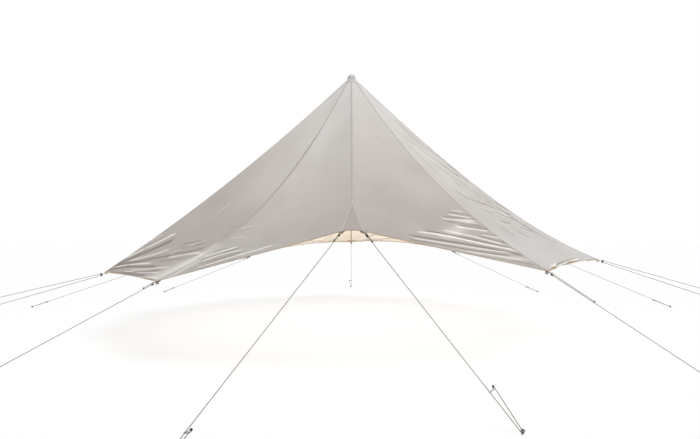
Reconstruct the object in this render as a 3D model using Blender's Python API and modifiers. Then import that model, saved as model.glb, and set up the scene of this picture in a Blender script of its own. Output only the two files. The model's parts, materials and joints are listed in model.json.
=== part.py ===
"""Fly sheet of a round bell tent: ten sewn canvas panels, a door gusset, a peak cap,
and a webbing tab, guy rope, runner and peg for each corner.

Metres, +Z up. The origin lies on the tent's axis, level with the tips of the pegs.
The door faces -Y. Angles around the axis are counted from the door towards +X."""

import math
from functools import partial

import bmesh
import bpy
from mathutils import Matrix, Vector
from mathutils.bvhtree import BVHTree

# Canopy
PEAK_HEIGHT = 2.925          # top edge of the cloth above the ground
PEAK_RADIUS = 0.055          # top edge of the cloth
PEAK_PITCH = 1.02            # fall per metre at which a seam leaves the peak
FRONT_LEFT_PITCH = 1.36      # the two seams beside the door hang slacker
FRONT_RIGHT_PITCH = 1.12
SIDE_PITCH = 0.975           # the two seams at the sides hang a little tighter
SEAM_POWER = 2.0             # how late a seam flattens towards its corner
SIDE_RIGHT_POWER = 3.0       # the right side's seam stays straight for longer
CORNER_RADIUS = 2.75
CORNER_HEIGHT = 0.74
SIDE_TILT = 0.07             # the right side is guyed this much higher, the left side lower
BACK_RADIUS = 2.80
BACK_HEIGHT = 0.915
DOOR_RADIUS = 2.71
DOOR_HEIGHT = 1.11
DOOR_WIDTH = 0.17            # between the two door corners
GUSSET_TOP_RADIUS = 2.08     # where the front seam splits around the gusset
GUSSET_TIP_CUT = 0.02        # the gusset starts this far below the split
GUSSET_HEM_RISE = 0.012      # share of the seam
GUSSET_COLUMNS = 6
GUSSET_ROWS = 6
SEAM_ANGLE = 36.0            # degrees between neighbouring corners
CANVAS_THICKNESS = 0.0008
SEAM_GAP = 0.0003
PANEL_SAG = 0.03             # how far the middle of a panel lies under its seams

# Peak cap
CAP_RADIUS = 0.048
CAP_DOME_TOP = 0.074         # above the cloth's top edge
CAP_DOME_START = 0.028
CAP_SKIRT_RADIUS = 0.085
CAP_PITCH = 0.94             # of the skirt, a little flatter than the cloth under it
CAP_WALL = 0.0025
CAP_RELIEF = 0.006           # flat ring between the boss and the skirt
CAP_BOSS_RADIUS = 0.045
CAP_BOSS_DROP = 0.014        # the boss ends this far below the cloth's top edge
SOCKET_RADIUS = 0.007        # takes the spike of the tent's pole
SOCKET_DEPTH = 0.060
SEAT_CLEARANCE = 0.0003

# Corner tabs
TAB_WIDTH = 0.026
TAB_THICKNESS = 0.0022
TAB_OVERLAP = 0.055          # sewn length under the canopy
TAB_EYE_OFFSET = 0.020       # from the corner to the eye's centre
TAB_EYE_RADIUS = 0.0065
TAB_END = 0.014              # from the eye's centre to the round end

# Guy ropes
ROPE_RADIUS = 0.003
ROPE_BEND_RADIUS = 0.008     # at the eye of a tab
ROPE_CLEARANCE = 0.0003
EYE_CLEARANCE = 0.0008       # from the rope's bend to the edge of the eye
KNOT_SWELL = 2.1             # knot radius over rope radius
KNOT_LENGTH = 0.012
TAIL = 0.10                  # spare rope past the eye
LONG_TAIL = 0.42
TAIL_SPACING = 0.0095        # from the rope to the end of its tail

# Runners
RUNNER_HOLE_SPACING = 0.036
RUNNER_HOLE_CLEARANCE = 0.00035
RUNNER_WIDTH = 0.014
RUNNER_THICKNESS = 0.006
RUNNER_TO_PEG = 0.28
SHORT_RUNNER_TO_PEG = 0.25
RUNNER_LEAD = 0.012          # straight rope on each side of a runner

# Pegs
PEG_SHAFT_RADIUS = 0.0045
PEG_BELOW = 0.180            # from the rope down to the tip
PEG_TIP = 0.022
PEG_HEAD_RADIUS = 0.012
PEG_HEAD_THICKNESS = 0.009
PEG_LEAN = 20.0              # degrees, heads away from the tent
ROPE_ABOVE_GROUND = 0.012
ROPE_TO_HEAD = 0.0075
GROUND_HEIGHT = PEG_BELOW * math.cos(math.radians(PEG_LEAN)) - ROPE_ABOVE_GROUND

def guyed_height(angle):
    """Height of a corner above the ground, by its angle from the door."""
    return CORNER_HEIGHT + SIDE_TILT * math.sin(math.radians(angle))


# Each corner: angle, radius, height above the ground and pitch of its seam at the peak.
door_angle = math.degrees(math.atan2(DOOR_WIDTH / 2, DOOR_RADIUS))
door_reach = math.hypot(DOOR_WIDTH / 2, DOOR_RADIUS)
CORNERS = {
    "door_left": (-door_angle, door_reach, DOOR_HEIGHT, PEAK_PITCH),
    "door_right": (door_angle, door_reach, DOOR_HEIGHT, PEAK_PITCH),
    "front_left": (-SEAM_ANGLE, CORNER_RADIUS, guyed_height(-SEAM_ANGLE), FRONT_LEFT_PITCH),
    "front_right": (SEAM_ANGLE, CORNER_RADIUS, guyed_height(SEAM_ANGLE), FRONT_RIGHT_PITCH),
    "side_left": (-2 * SEAM_ANGLE, CORNER_RADIUS, guyed_height(-2 * SEAM_ANGLE), SIDE_PITCH),
    "side_right": (2 * SEAM_ANGLE, CORNER_RADIUS, guyed_height(2 * SEAM_ANGLE), SIDE_PITCH),
    "rear_left": (-3 * SEAM_ANGLE, CORNER_RADIUS, guyed_height(-3 * SEAM_ANGLE), PEAK_PITCH),
    "rear_right": (3 * SEAM_ANGLE, CORNER_RADIUS, guyed_height(3 * SEAM_ANGLE), PEAK_PITCH),
    "back_left": (-4 * SEAM_ANGLE, CORNER_RADIUS, guyed_height(-4 * SEAM_ANGLE), PEAK_PITCH),
    "back_right": (4 * SEAM_ANGLE, CORNER_RADIUS, guyed_height(4 * SEAM_ANGLE), PEAK_PITCH),
    "back": (180.0, BACK_RADIUS, BACK_HEIGHT, PEAK_PITCH),
}

# Folds
RIGHT_FOLD_COUNT = 8         # along the hem, beside the right front corner
RIGHT_FOLD_DEPTH = 0.011
RIGHT_FOLD_START = 0.68      # share of the way from peak to hem
RIGHT_FOLD_SPREAD = 2.6      # how fast they reach across the panel lower down
LEFT_FOLD_COUNT = 6          # along the hem, beside the left front corner
LEFT_FOLD_DEPTH = 0.007
LEFT_FOLD_START = 0.78
LEFT_FOLD_SPREAD = 2.8
FAN_FOLD_COUNT = 5           # in the left side panel, from its back corner
FAN_FOLD_DEPTH = 0.013
FAN_FOLD_START = 0.52
FAN_INNER_RADIUS = 0.20
FAN_OUTER_RADIUS = 1.70
CURL_DEPTH = 0.012           # of the rolled hem beside the right front corner
CURL_START = 0.80

# Each panel: its two corners, counted the way the angles go, columns of cloth, rows above
# and below the place where its folds start, and how far the hem is cut back at its middle.
PANELS = {
    "panel_front_left": ("front_left", "door_left", 10, 6, 22, LEFT_FOLD_START, 0.0),
    "panel_front_right": ("door_right", "front_right", 10, 6, 36, RIGHT_FOLD_START, 0.0),
    "panel_side_left": ("side_left", "front_left", 20, 4, 22, FAN_FOLD_START, 0.02),
    "panel_side_right": ("front_right", "side_right", 12, 6, 10, CURL_START, 0.04),
    "panel_rear_left": ("rear_left", "side_left", 6, 10, 0, 1.0, 0.10),
    "panel_rear_right": ("side_right", "rear_right", 6, 10, 0, 1.0, 0.10),
    "panel_flank_left": ("back_left", "rear_left", 6, 10, 0, 1.0, 0.12),
    "panel_flank_right": ("rear_right", "back_right", 6, 10, 0, 1.0, 0.12),
    "panel_back_left": ("back", "back_left", 8, 12, 0, 1.0, 0.15),
    "panel_back_right": ("back_right", "back", 8, 12, 0, 1.0, 0.15),
}

# How far each peg stands out past its own corner
DOOR_LEFT_REACH = 1.77
DOOR_RIGHT_REACH = 1.222
FRONT_LEFT_REACH = 1.66
FRONT_RIGHT_REACH = 1.38
SIDE_NEAR_REACH = 2.35
SIDE_FAR_REACH = 2.75
REAR_REACH = 2.05
BACK_SIDE_REACH = 2.05
BACK_REACH = 1.589

# Each guy: for each peg a name, an angle, how far it stands out past the corner, the
# distance from peg to runner and the twist of the runner in degrees, then the tail's length.
GUYS = {
    "door_left": ([("", -11.75, DOOR_LEFT_REACH, SHORT_RUNNER_TO_PEG, -20.0)], TAIL),
    "door_right": ([("", 13.68, DOOR_RIGHT_REACH, RUNNER_TO_PEG, -55.0)], TAIL),
    "front_left": ([("", -37.0, FRONT_LEFT_REACH, RUNNER_TO_PEG, 0.0)], TAIL),
    "front_right": ([("", 38.0, FRONT_RIGHT_REACH, RUNNER_TO_PEG, 0.0)], LONG_TAIL),
    "side_left": ([("_near", -66.0, SIDE_NEAR_REACH, RUNNER_TO_PEG, 0.0),
                   ("_far", -82.0, SIDE_FAR_REACH, RUNNER_TO_PEG, 0.0)], 0.0),
    "side_right": ([("_near", 66.0, SIDE_NEAR_REACH, RUNNER_TO_PEG, 0.0),
                    ("_far", 82.0, SIDE_FAR_REACH, RUNNER_TO_PEG, 0.0)], 0.0),
    "rear_left": ([("", -107.0, REAR_REACH, RUNNER_TO_PEG, 0.0)], TAIL),
    "rear_right": ([("", 107.0, REAR_REACH, RUNNER_TO_PEG, 0.0)], TAIL),
    "back_left": ([("", -136.0, BACK_SIDE_REACH, RUNNER_TO_PEG, 0.0)], TAIL),
    "back_right": ([("", 136.0, BACK_SIDE_REACH, RUNNER_TO_PEG, 0.0)], TAIL),
    "back": ([("", 180.0, BACK_REACH, RUNNER_TO_PEG, 0.0)], TAIL),
}

UP = Vector((0.0, 0.0, 1.0))


def clear_scene():
    for old in list(bpy.data.objects):
        bpy.data.objects.remove(old, do_unlink=True)


def make_collection(name):
    collection = bpy.data.collections.new(name)
    bpy.context.scene.collection.children.link(collection)
    return collection


def make_material(name, colour, roughness, metallic=0.0):
    material = bpy.data.materials.new(name)
    material.use_nodes = True
    shader = material.node_tree.nodes["Principled BSDF"]
    shader.inputs["Base Color"].default_value = (*colour, 1.0)
    shader.inputs["Roughness"].default_value = roughness
    shader.inputs["Metallic"].default_value = metallic
    return material


def around(angle, radius, height):
    """A point at an angle from the door, a distance from the axis and a height above ground."""
    turn = math.radians(angle)
    return Vector((radius * math.sin(turn), -radius * math.cos(turn), height + GROUND_HEIGHT))


def smooth_step(low, high, value):
    share = min(1.0, max(0.0, (value - low) / (high - low)))
    return share * share * (3.0 - 2.0 * share)


def seam_height(radius, end_radius, end_height, pitch, power):
    """Height of a seam: it leaves the peak at its pitch and flattens to its corner."""
    run = end_radius - PEAK_RADIUS
    fall = PEAK_HEIGHT - end_height
    flare = pitch * run / fall - 1.0
    share = (radius - PEAK_RADIUS) / run
    return PEAK_HEIGHT - fall * ((1.0 + flare) * share - flare * share**power)


def seam_point(corner, share):
    """A point on the seam that ends at a corner; share runs from 0, the peak, to 1, the hem."""
    angle, reach, end_height, pitch = CORNERS[corner]
    if not corner.startswith("door"):
        radius = PEAK_RADIUS + share * (reach - PEAK_RADIUS)
        power = SIDE_RIGHT_POWER if corner == "side_right" else SEAM_POWER
        return around(angle, radius, seam_height(radius, reach, end_height, pitch, power))
    radius = PEAK_RADIUS + share * (DOOR_RADIUS - PEAK_RADIUS)
    point = around(0.0, radius, seam_height(radius, DOOR_RADIUS, DOOR_HEIGHT, pitch, SEAM_POWER))
    spread = max(0.0, (radius - GUSSET_TOP_RADIUS) / (DOOR_RADIUS - GUSSET_TOP_RADIUS))
    point.x = math.copysign(spread * DOOR_WIDTH / 2, angle)
    return point


def hem_folds(from_seam, down, count, depth, start, spread):
    """Folds along the hem: they end at a guyed seam and reach further across lower down."""
    reach = spread * (down - start)
    inward = 1.0 - smooth_step(reach - 0.10, reach + 0.10, from_seam)
    band = smooth_step(start, start + 0.06, down) * (1.0 - smooth_step(0.96, 1.0, down))
    held = smooth_step(0.0, 0.10, from_seam)
    return depth * inward * band * held * math.sin(2 * math.pi * count * (down - start) / (1.0 - start))


def fan_folds(across, down):
    """Folds that fan out over the cloth from the first corner of the panel."""
    width = 2 * CORNER_RADIUS * math.sin(math.radians(SEAM_ANGLE / 2)) * down
    length = math.hypot(CORNER_RADIUS, PEAK_HEIGHT - CORNER_HEIGHT)
    distance = math.hypot(across * width, (1.0 - down) * length)
    turn = math.atan2((1.0 - down) * length, across * width) / (math.pi / 2)
    near = smooth_step(FAN_INNER_RADIUS, 2 * FAN_INNER_RADIUS, distance)
    far = 1.0 - smooth_step(FAN_OUTER_RADIUS / 2, FAN_OUTER_RADIUS, distance)
    edges = smooth_step(0.0, 0.08, across) * (1.0 - smooth_step(0.85, 1.0, across))
    hem = 1.0 - smooth_step(0.97, 1.0, down)
    return FAN_FOLD_DEPTH * near * far * edges * hem * math.sin(2 * math.pi * FAN_FOLD_COUNT * turn)


def curl_folds(across, down):
    """The short rolled folds in the hem beside the panel's first corner."""
    band = smooth_step(CURL_START + 0.05, 0.97, down) * (1.0 - smooth_step(0.985, 1.0, down))
    return CURL_DEPTH * band * math.sin(math.pi * across) * math.cos(3 * math.pi * across)


def fold_height(panel, across, down):
    """How far the folds lift a point of a panel's cloth."""
    if panel == "panel_front_right" and down > RIGHT_FOLD_START:
        return hem_folds(1.0 - across, down, RIGHT_FOLD_COUNT, RIGHT_FOLD_DEPTH,
                         RIGHT_FOLD_START, RIGHT_FOLD_SPREAD)
    if panel == "panel_front_left" and down > LEFT_FOLD_START:
        return hem_folds(across, down, LEFT_FOLD_COUNT, LEFT_FOLD_DEPTH,
                         LEFT_FOLD_START, LEFT_FOLD_SPREAD)
    if panel == "panel_side_left":
        return fan_folds(across, down)
    if panel == "panel_side_right":
        return curl_folds(across, down)
    return 0.0


def row_place(panel, share):
    """Where a row lies on the way from peak to hem: the rows are closer below the folds' start."""
    _, _, _, plain_rows, fold_rows, fold_start, _ = PANELS[panel]
    row = share * (plain_rows + fold_rows)
    if row <= plain_rows:
        return fold_start * row / plain_rows
    return fold_start + (1.0 - fold_start) * (row - plain_rows) / fold_rows


def panel_point(panel, across, share):
    """A point of a panel's underside; across runs between its seams, share from peak to hem."""
    first, second, *_, hem_cut = PANELS[panel]
    cut_back = hem_cut * 4.0 * across * (1.0 - across) / (CORNER_RADIUS - PEAK_RADIUS)
    down = row_place(panel, share) * (1.0 - cut_back)
    left, right = seam_point(first, down), seam_point(second, down)
    inset = (right - left).normalized() * (SEAM_GAP / 2)
    point = (left + inset).lerp(right - inset, across)
    sag = PANEL_SAG * math.sin(math.pi * across) * math.sin(math.pi * down)
    return point + UP * (fold_height(panel, across, down) - sag)


def cloth(name, columns, rows, place, collection, material):
    """A sheet shaped from a grid: place gives each point, and the cloth's thickness goes outwards."""
    mesh = bpy.data.meshes.new(name)
    grid = bmesh.new()
    bmesh.ops.create_grid(grid, x_segments=columns, y_segments=rows, size=0.5)
    for vert in grid.verts:
        vert.co = place(vert.co.x + 0.5, vert.co.y + 0.5)
    bmesh.ops.reverse_faces(grid, faces=grid.faces)
    grid.to_mesh(mesh)
    grid.free()
    mesh.materials.append(material)
    mesh.shade_smooth()
    sheet = bpy.data.objects.new(name, mesh)
    collection.objects.link(sheet)
    thickness = sheet.modifiers.new("Canvas", "SOLIDIFY")
    thickness.thickness = CANVAS_THICKNESS
    thickness.offset = 1.0
    return sheet


def gusset_point(across, share):
    """A point of the door gusset, which fills the split of the front seam."""
    start = (GUSSET_TOP_RADIUS + GUSSET_TIP_CUT - PEAK_RADIUS) / (DOOR_RADIUS - PEAK_RADIUS)
    rise = GUSSET_HEM_RISE * 4.0 * across * (1.0 - across)
    down = start + share * (1.0 - rise - start)
    left, right = seam_point("door_left", down), seam_point("door_right", down)
    inset = (right - left).normalized() * (SEAM_GAP / 2)
    return (left + inset).lerp(right - inset, across)


def turned(name, profile, steps, collection, material):
    """A turned solid: the profile runs down the outer side from the axis and back to it."""
    mesh = bpy.data.meshes.new(name)
    mesh.from_pydata([(x, 0.0, z) for x, z in profile], [(i, i + 1) for i in range(len(profile) - 1)], [])
    mesh.materials.append(material)
    solid = bpy.data.objects.new(name, mesh)
    collection.objects.link(solid)
    screw = solid.modifiers.new("Turn", "SCREW")
    screw.angle = 2 * math.pi
    screw.steps = steps
    screw.render_steps = steps
    screw.use_merge_vertices = True
    screw.merge_threshold = 0.00005
    screw.use_smooth_shade = True
    return solid


def cap_profile():
    """Half section of the peak cap: dome, skirt over the cloth, boss and pole socket."""
    dome = []
    for step in range(7):
        turn = math.radians(90.0 * (1 - step / 6))
        rise = CAP_DOME_TOP - CAP_DOME_START
        dome.append((CAP_RADIUS * math.cos(turn), CAP_DOME_START + rise * math.sin(turn)))
    dome[0] = (0.0, CAP_DOME_TOP)
    slant = math.hypot(1.0, PEAK_PITCH)
    over_cloth = (CANVAS_THICKNESS + SEAT_CLEARANCE) * slant
    skirt_fall = CAP_PITCH * (CAP_SKIRT_RADIUS - PEAK_RADIUS)
    inner_radius = CAP_BOSS_RADIUS + CAP_RELIEF
    inner_top = over_cloth + CAP_PITCH * (PEAK_RADIUS - inner_radius)
    outer_rise = CAP_WALL * slant
    return dome + [
        (CAP_RADIUS, inner_top + outer_rise + CAP_PITCH * (inner_radius - CAP_RADIUS)),
        (CAP_SKIRT_RADIUS, over_cloth - skirt_fall + outer_rise),
        (CAP_SKIRT_RADIUS, over_cloth - skirt_fall),
        (inner_radius, inner_top),
        (CAP_BOSS_RADIUS, inner_top),
        (CAP_BOSS_RADIUS, -CAP_BOSS_DROP),
        (SOCKET_RADIUS, -CAP_BOSS_DROP),
        (SOCKET_RADIUS, SOCKET_DEPTH - CAP_BOSS_DROP),
        (0.0, SOCKET_DEPTH - CAP_BOSS_DROP),
    ]


def peg_profile():
    """Half section of a peg, with the rope's height on it at zero."""
    head_low = ROPE_TO_HEAD
    head_top = head_low + PEG_HEAD_THICKNESS
    return [
        (0.0, head_top),
        (PEG_HEAD_RADIUS * 0.6, head_top),
        (PEG_HEAD_RADIUS, head_top - PEG_HEAD_THICKNESS * 0.4),
        (PEG_HEAD_RADIUS, head_low),
        (PEG_SHAFT_RADIUS, head_low),
        (PEG_SHAFT_RADIUS, PEG_TIP - PEG_BELOW),
        (0.0, -PEG_BELOW),
    ]


def circle_spline(curve, centre, radius, points):
    ring = curve.splines.new("POLY")
    ring.points.add(points - 1)
    for i, point in enumerate(ring.points):
        turn = 2 * math.pi * i / points
        point.co = (centre[0] + radius * math.cos(turn), centre[1] + radius * math.sin(turn), 0.0, 1.0)
    ring.use_cyclic_u = True


def outline_spline(curve, outline):
    edge = curve.splines.new("POLY")
    edge.points.add(len(outline) - 1)
    for point, (x, y) in zip(edge.points, outline):
        point.co = (x, y, 0.0, 1.0)
    edge.use_cyclic_u = True


def plate(name, outline, holes, thickness, placing, collection, material):
    """A flat plate from a 2D curve: an outline with round holes, placed by a matrix."""
    curve = bpy.data.curves.new(name, "CURVE")
    curve.dimensions = "2D"
    curve.fill_mode = "BOTH"
    curve.extrude = thickness / 2
    outline_spline(curve, outline)
    for centre, radius, points in holes:
        circle_spline(curve, centre, radius, points)
    curve.materials.append(material)
    solid = bpy.data.objects.new(name, curve)
    collection.objects.link(solid)
    solid.matrix_world = placing
    return solid


def frame_matrix(origin, x_axis, z_axis):
    y_axis = z_axis.cross(x_axis).normalized()
    turn = Matrix((x_axis, y_axis, z_axis)).transposed().to_4x4()
    return Matrix.Translation(origin) @ turn


def arc_points(centre, radius, start, end, steps):
    """Points of an arc in a plate's own plane, with angles in degrees."""
    found = []
    for i in range(steps + 1):
        turn = math.radians(start + (end - start) * i / steps)
        found.append((centre[0] + radius * math.cos(turn), centre[1] + radius * math.sin(turn)))
    return found


def corner_axes(corner, goal):
    """Corner point, the way the tab points, which is towards its rope's goal, and the normal."""
    tip = seam_point(corner, 1.0)
    seam = (tip - seam_point(corner, 0.98)).normalized()
    normal = seam.cross(UP).cross(seam).normalized()
    pull = goal - tip
    outward = (pull - normal * pull.dot(normal)).normalized()
    return tip, outward, normal


def cloth_tree(sheets):
    """A search tree of the cloth's underside, with both ways to split each of its squares."""
    points, triangles = [], []
    for sheet in sheets:
        start = len(points)
        points += [vert.co for vert in sheet.data.vertices]
        for face in sheet.data.polygons:
            a, b, c, d = (start + i for i in face.vertices)
            triangles += [(a, b, c), (a, c, d), (a, b, d), (b, c, d)]
    return BVHTree.FromPolygons(points, triangles)


def tab_drop(tree, tip, outward, normal):
    """How far the middle of a tab lies below its corner's plane, to clear the cloth above it."""
    sideways = normal.cross(outward)
    reach, rows, columns = 0.1, 120, 12
    lowest = 0.0
    for i in range(rows + 1):
        along = outward * (TAB_OVERLAP + TAB_EYE_OFFSET + TAB_END) * (i / rows)
        for k in range(columns + 1):
            place = tip - outward * TAB_OVERLAP + along + sideways * TAB_WIDTH * (k / columns - 0.5)
            hit = tree.ray_cast(place - normal * reach, normal, 2 * reach)
            if hit[0] is not None:
                lowest = min(lowest, hit[3] - reach)
    return lowest - SEAT_CLEARANCE - TAB_THICKNESS / 2


def add_tab(corner, goal, tree, collection, material):
    """A webbing tab under a corner, with an eye past the hem; returns the eye's centre and axes."""
    tip, outward, normal = corner_axes(corner, goal)
    eye_centre = tip + outward * TAB_EYE_OFFSET + normal * tab_drop(tree, tip, outward, normal)
    half = TAB_WIDTH / 2
    start = -TAB_OVERLAP - TAB_EYE_OFFSET
    outline = [(start, half), (start, -half)] + arc_points((TAB_END - half, 0.0), half, -90, 90, 8)
    plate("corner_tab_" + corner, outline, [((0.0, 0.0), TAB_EYE_RADIUS, 12)], TAB_THICKNESS,
          frame_matrix(eye_centre, outward, normal), collection, material)
    return eye_centre, outward, normal


def add_rope(name, points, collection, material):
    """A rope from a list of points, each with a swelling over the rope's own radius."""
    curve = bpy.data.curves.new(name, "CURVE")
    curve.dimensions = "3D"
    curve.bevel_depth = ROPE_RADIUS
    curve.bevel_resolution = 1
    curve.use_fill_caps = True
    spline = curve.splines.new("POLY")
    spline.points.add(len(points) - 1)
    for point, (place, swell) in zip(spline.points, points):
        point.co = (*place, 1.0)
        point.radius = swell
    curve.materials.append(material)
    rope = bpy.data.objects.new(name, curve)
    collection.objects.link(rope)
    return rope


def add_runner(name, hole, line, bar, collection, material):
    """A two-hole runner: one hole on the standing rope's line, the other along the bar."""
    half = RUNNER_WIDTH / 2
    radius = ROPE_RADIUS + RUNNER_HOLE_CLEARANCE
    outline = arc_points((0.0, 0.0), half, 90, 270, 6)
    outline += arc_points((RUNNER_HOLE_SPACING, 0.0), half, -90, 90, 6)
    holes = [((0.0, 0.0), radius, 10), ((RUNNER_HOLE_SPACING, 0.0), radius, 10)]
    plate(name, outline, holes, RUNNER_THICKNESS, frame_matrix(hole, bar, line), collection, material)


def add_peg(name, place, lean_axis, collection, material):
    peg = turned(name, peg_profile(), 10, collection, material)
    side = lean_axis.cross(UP).normalized()
    peg.matrix_world = frame_matrix(place, side, lean_axis)


def guy_end(label, start, place, angle, to_runner, twist, parts, materials):
    """Peg, runner and the rope from a start point to the peg and back; returns the rope's points."""
    lean = math.radians(PEG_LEAN)
    turn = math.radians(angle)
    axis = Vector((math.sin(turn) * math.sin(lean), -math.cos(turn) * math.sin(lean), math.cos(lean)))
    up_rope = (start - place).normalized()
    side = UP.cross(up_rope).normalized()
    loop = (PEG_SHAFT_RADIUS + ROPE_RADIUS + ROPE_CLEARANCE) / up_rope.cross(axis).length
    loop_start = place + side * loop
    line = (start - loop_start).normalized()
    hole = loop_start + line * to_runner
    bar = (-side - line * (-side).dot(line)).normalized()
    bar = Matrix.Rotation(math.radians(twist), 3, line) @ bar
    add_runner("runner_" + label, hole, line, bar, parts, materials["runner"])
    add_peg("peg_" + label, place, axis, parts, materials["peg"])
    print("runner", label, "axis", [round(v, 6) for v in line], "hole", [round(v, 5) for v in hole])
    points = [(start, 1.0)]
    for step in range(9):
        bend = math.pi * step / 8
        points.append((place + side * loop * math.cos(bend) - up_rope * loop * math.sin(bend), 1.0))
    second_hole = hole + bar * RUNNER_HOLE_SPACING
    knot = RUNNER_THICKNESS / 2 + 0.001
    points.append((second_hole - line * RUNNER_LEAD, 1.0))
    points.append((second_hole + line * knot, 1.0))
    points.append((second_hole + line * (knot + KNOT_LENGTH * 0.25), KNOT_SWELL))
    points.append((second_hole + line * (knot + KNOT_LENGTH * 0.75), KNOT_SWELL))
    points.append((second_hole + line * (knot + KNOT_LENGTH), 1.0))
    points.append((second_hole + line * (knot + KNOT_LENGTH + 0.008), 1.0))
    return points


def add_guy(name, tree, parts, materials):
    """One corner's tab, rope, runners and pegs."""
    ends, tail = GUYS[name]
    places = [around(angle, CORNERS[name][1] + reach, ROPE_ABOVE_GROUND) for _, angle, reach, _, _ in ends]
    goal = sum(places, Vector()) / len(places)
    eye, outward, normal = add_tab(name, goal, tree, parts, materials["webbing"])
    pull = (goal - eye).normalized()
    across = (normal - pull * normal.dot(pull)).normalized()
    inside = (ROPE_BEND_RADIUS - ROPE_RADIUS) * math.cos(math.pi / 12) - EYE_CLEARANCE
    centre = eye + outward * (TAB_EYE_RADIUS + math.sqrt(inside ** 2 - (TAB_THICKNESS / 2) ** 2))
    bend = []
    for step in range(7):
        turn = math.radians(-90 + 30 * step)
        bend.append((centre + across * ROPE_BEND_RADIUS * math.sin(turn)
                     - pull * ROPE_BEND_RADIUS * math.cos(turn), 1.0))
    low, high = bend[0][0], bend[-1][0]
    suffix, angle, _, to_runner, twist = ends[0]
    first = guy_end(name + suffix, low, places[0], angle, to_runner, twist, parts, materials)
    if len(ends) == 2:
        suffix, angle, _, to_runner, twist = ends[1]
        second = guy_end(name + suffix, high, places[1], angle, to_runner, twist, parts, materials)
        points = list(reversed(first))[:-1] + bend + second[1:]
    else:
        line = (first[1][0] - low).normalized()
        tail_end = low + line * tail + across * TAIL_SPACING
        tail_way = low + line * min(0.03, tail / 2) + across * (TAIL_SPACING + 0.002)
        points = list(reversed(first))[:-1] + bend + [(tail_way, 1.0), (tail_end, 1.0)]
    add_rope("guy_rope_" + name, points, parts, materials["rope"])


def main():
    clear_scene()
    parts = make_collection("Bell tent fly sheet")
    materials = {
        "canvas": make_material("Canvas", (0.62, 0.58, 0.54), 0.9),
        "gusset": make_material("Gusset canvas", (0.52, 0.47, 0.44), 0.9),
        "cap": make_material("Cap", (0.60, 0.60, 0.60), 0.8),
        "webbing": make_material("Webbing", (0.62, 0.50, 0.33), 0.9),
        "rope": make_material("Rope", (0.46, 0.45, 0.36), 0.85),
        "runner": make_material("Runner", (0.45, 0.45, 0.47), 0.35, 1.0),
        "peg": make_material("Peg", (0.03, 0.03, 0.035), 0.5),
    }
    sheets = [cloth(name, columns, plain + folded, partial(panel_point, name), parts, materials["canvas"])
              for name, (_, _, columns, plain, folded, _, _) in PANELS.items()]
    sheets.append(cloth("door_gusset", GUSSET_COLUMNS, GUSSET_ROWS, gusset_point, parts,
                        materials["gusset"]))
    tree = cloth_tree(sheets)
    cap = turned("peak_cap", cap_profile(), 20, parts, materials["cap"])
    cap.location = (0.0, 0.0, PEAK_HEIGHT + GROUND_HEIGHT)
    for name in GUYS:
        add_guy(name, tree, parts, materials)


main()
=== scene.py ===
import json
import math
from functools import partial

import bpy
import numpy as np
from mathutils import Matrix, Vector


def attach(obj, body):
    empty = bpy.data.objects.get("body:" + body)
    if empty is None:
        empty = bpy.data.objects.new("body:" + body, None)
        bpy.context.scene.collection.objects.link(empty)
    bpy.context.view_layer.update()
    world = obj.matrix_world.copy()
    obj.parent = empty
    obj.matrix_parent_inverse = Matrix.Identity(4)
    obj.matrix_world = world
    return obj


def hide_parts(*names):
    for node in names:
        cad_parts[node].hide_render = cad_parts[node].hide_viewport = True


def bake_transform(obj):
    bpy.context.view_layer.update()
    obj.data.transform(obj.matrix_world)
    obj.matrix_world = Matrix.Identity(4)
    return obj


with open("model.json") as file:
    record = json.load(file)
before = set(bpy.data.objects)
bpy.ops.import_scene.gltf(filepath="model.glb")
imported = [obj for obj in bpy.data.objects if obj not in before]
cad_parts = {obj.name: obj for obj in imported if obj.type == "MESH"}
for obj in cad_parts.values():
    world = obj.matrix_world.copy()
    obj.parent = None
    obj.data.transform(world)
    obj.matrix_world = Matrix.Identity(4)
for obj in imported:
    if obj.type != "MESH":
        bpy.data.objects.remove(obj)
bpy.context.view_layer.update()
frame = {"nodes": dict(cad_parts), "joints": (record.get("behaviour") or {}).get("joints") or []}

up = Vector((0.0, 0.0, 1.0))
ground = 0.157145            # height of the floor in the model's frame

for spare in ("Cube", "Light", "Camera"):   # what a new file starts with
    if spare in bpy.data.objects:
        bpy.data.objects.remove(bpy.data.objects[spare])

camera = {
    "place": (-0.0186, -7.073, 1.130), "pitch": 0.0164,    # above the floor, and up from level
    "lens": 30.23, "sensor": 36.0, "farthest": 200.0,
}


def linked(name, data):
    thing = bpy.data.objects.new(name, data)
    bpy.context.scene.collection.objects.link(thing)
    return thing


def setCamera():
    lens = bpy.data.cameras.new("photoCamera")
    lens.lens, lens.sensor_width, lens.sensor_fit = camera["lens"], camera["sensor"], "HORIZONTAL"
    lens.clip_end = camera["farthest"]
    view = linked("photoCamera", lens)
    ahead = Vector((0.0, math.cos(camera["pitch"]), math.sin(camera["pitch"])))
    right = Vector((1.0, 0.0, 0.0))
    view.matrix_world = axesMatrix(Vector(camera["place"]) + up * ground, right, right.cross(ahead), -ahead)
    bpy.context.scene.camera = view


def deselectAll():
    if bpy.context.mode != "OBJECT":
        bpy.ops.object.mode_set(mode="OBJECT")
    for other in bpy.context.selected_objects:
        other.select_set(False)


def only(*things):
    # the first of the things becomes the active one
    deselectAll()
    for thing in things:
        thing.select_set(True)
    bpy.context.view_layer.objects.active = things[0]


def applyPlace(thing):
    only(thing)
    bpy.ops.object.transform_apply(location=True, rotation=True, scale=True)


def applyModifiers(thing):
    only(thing)
    for modifier in list(thing.modifiers):
        bpy.ops.object.modifier_apply(modifier=modifier.name)


def joined(pieces, name):
    only(*pieces)
    bpy.ops.object.join()
    pieces[0].name = pieces[0].data.name = name
    return pieces[0]


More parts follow.
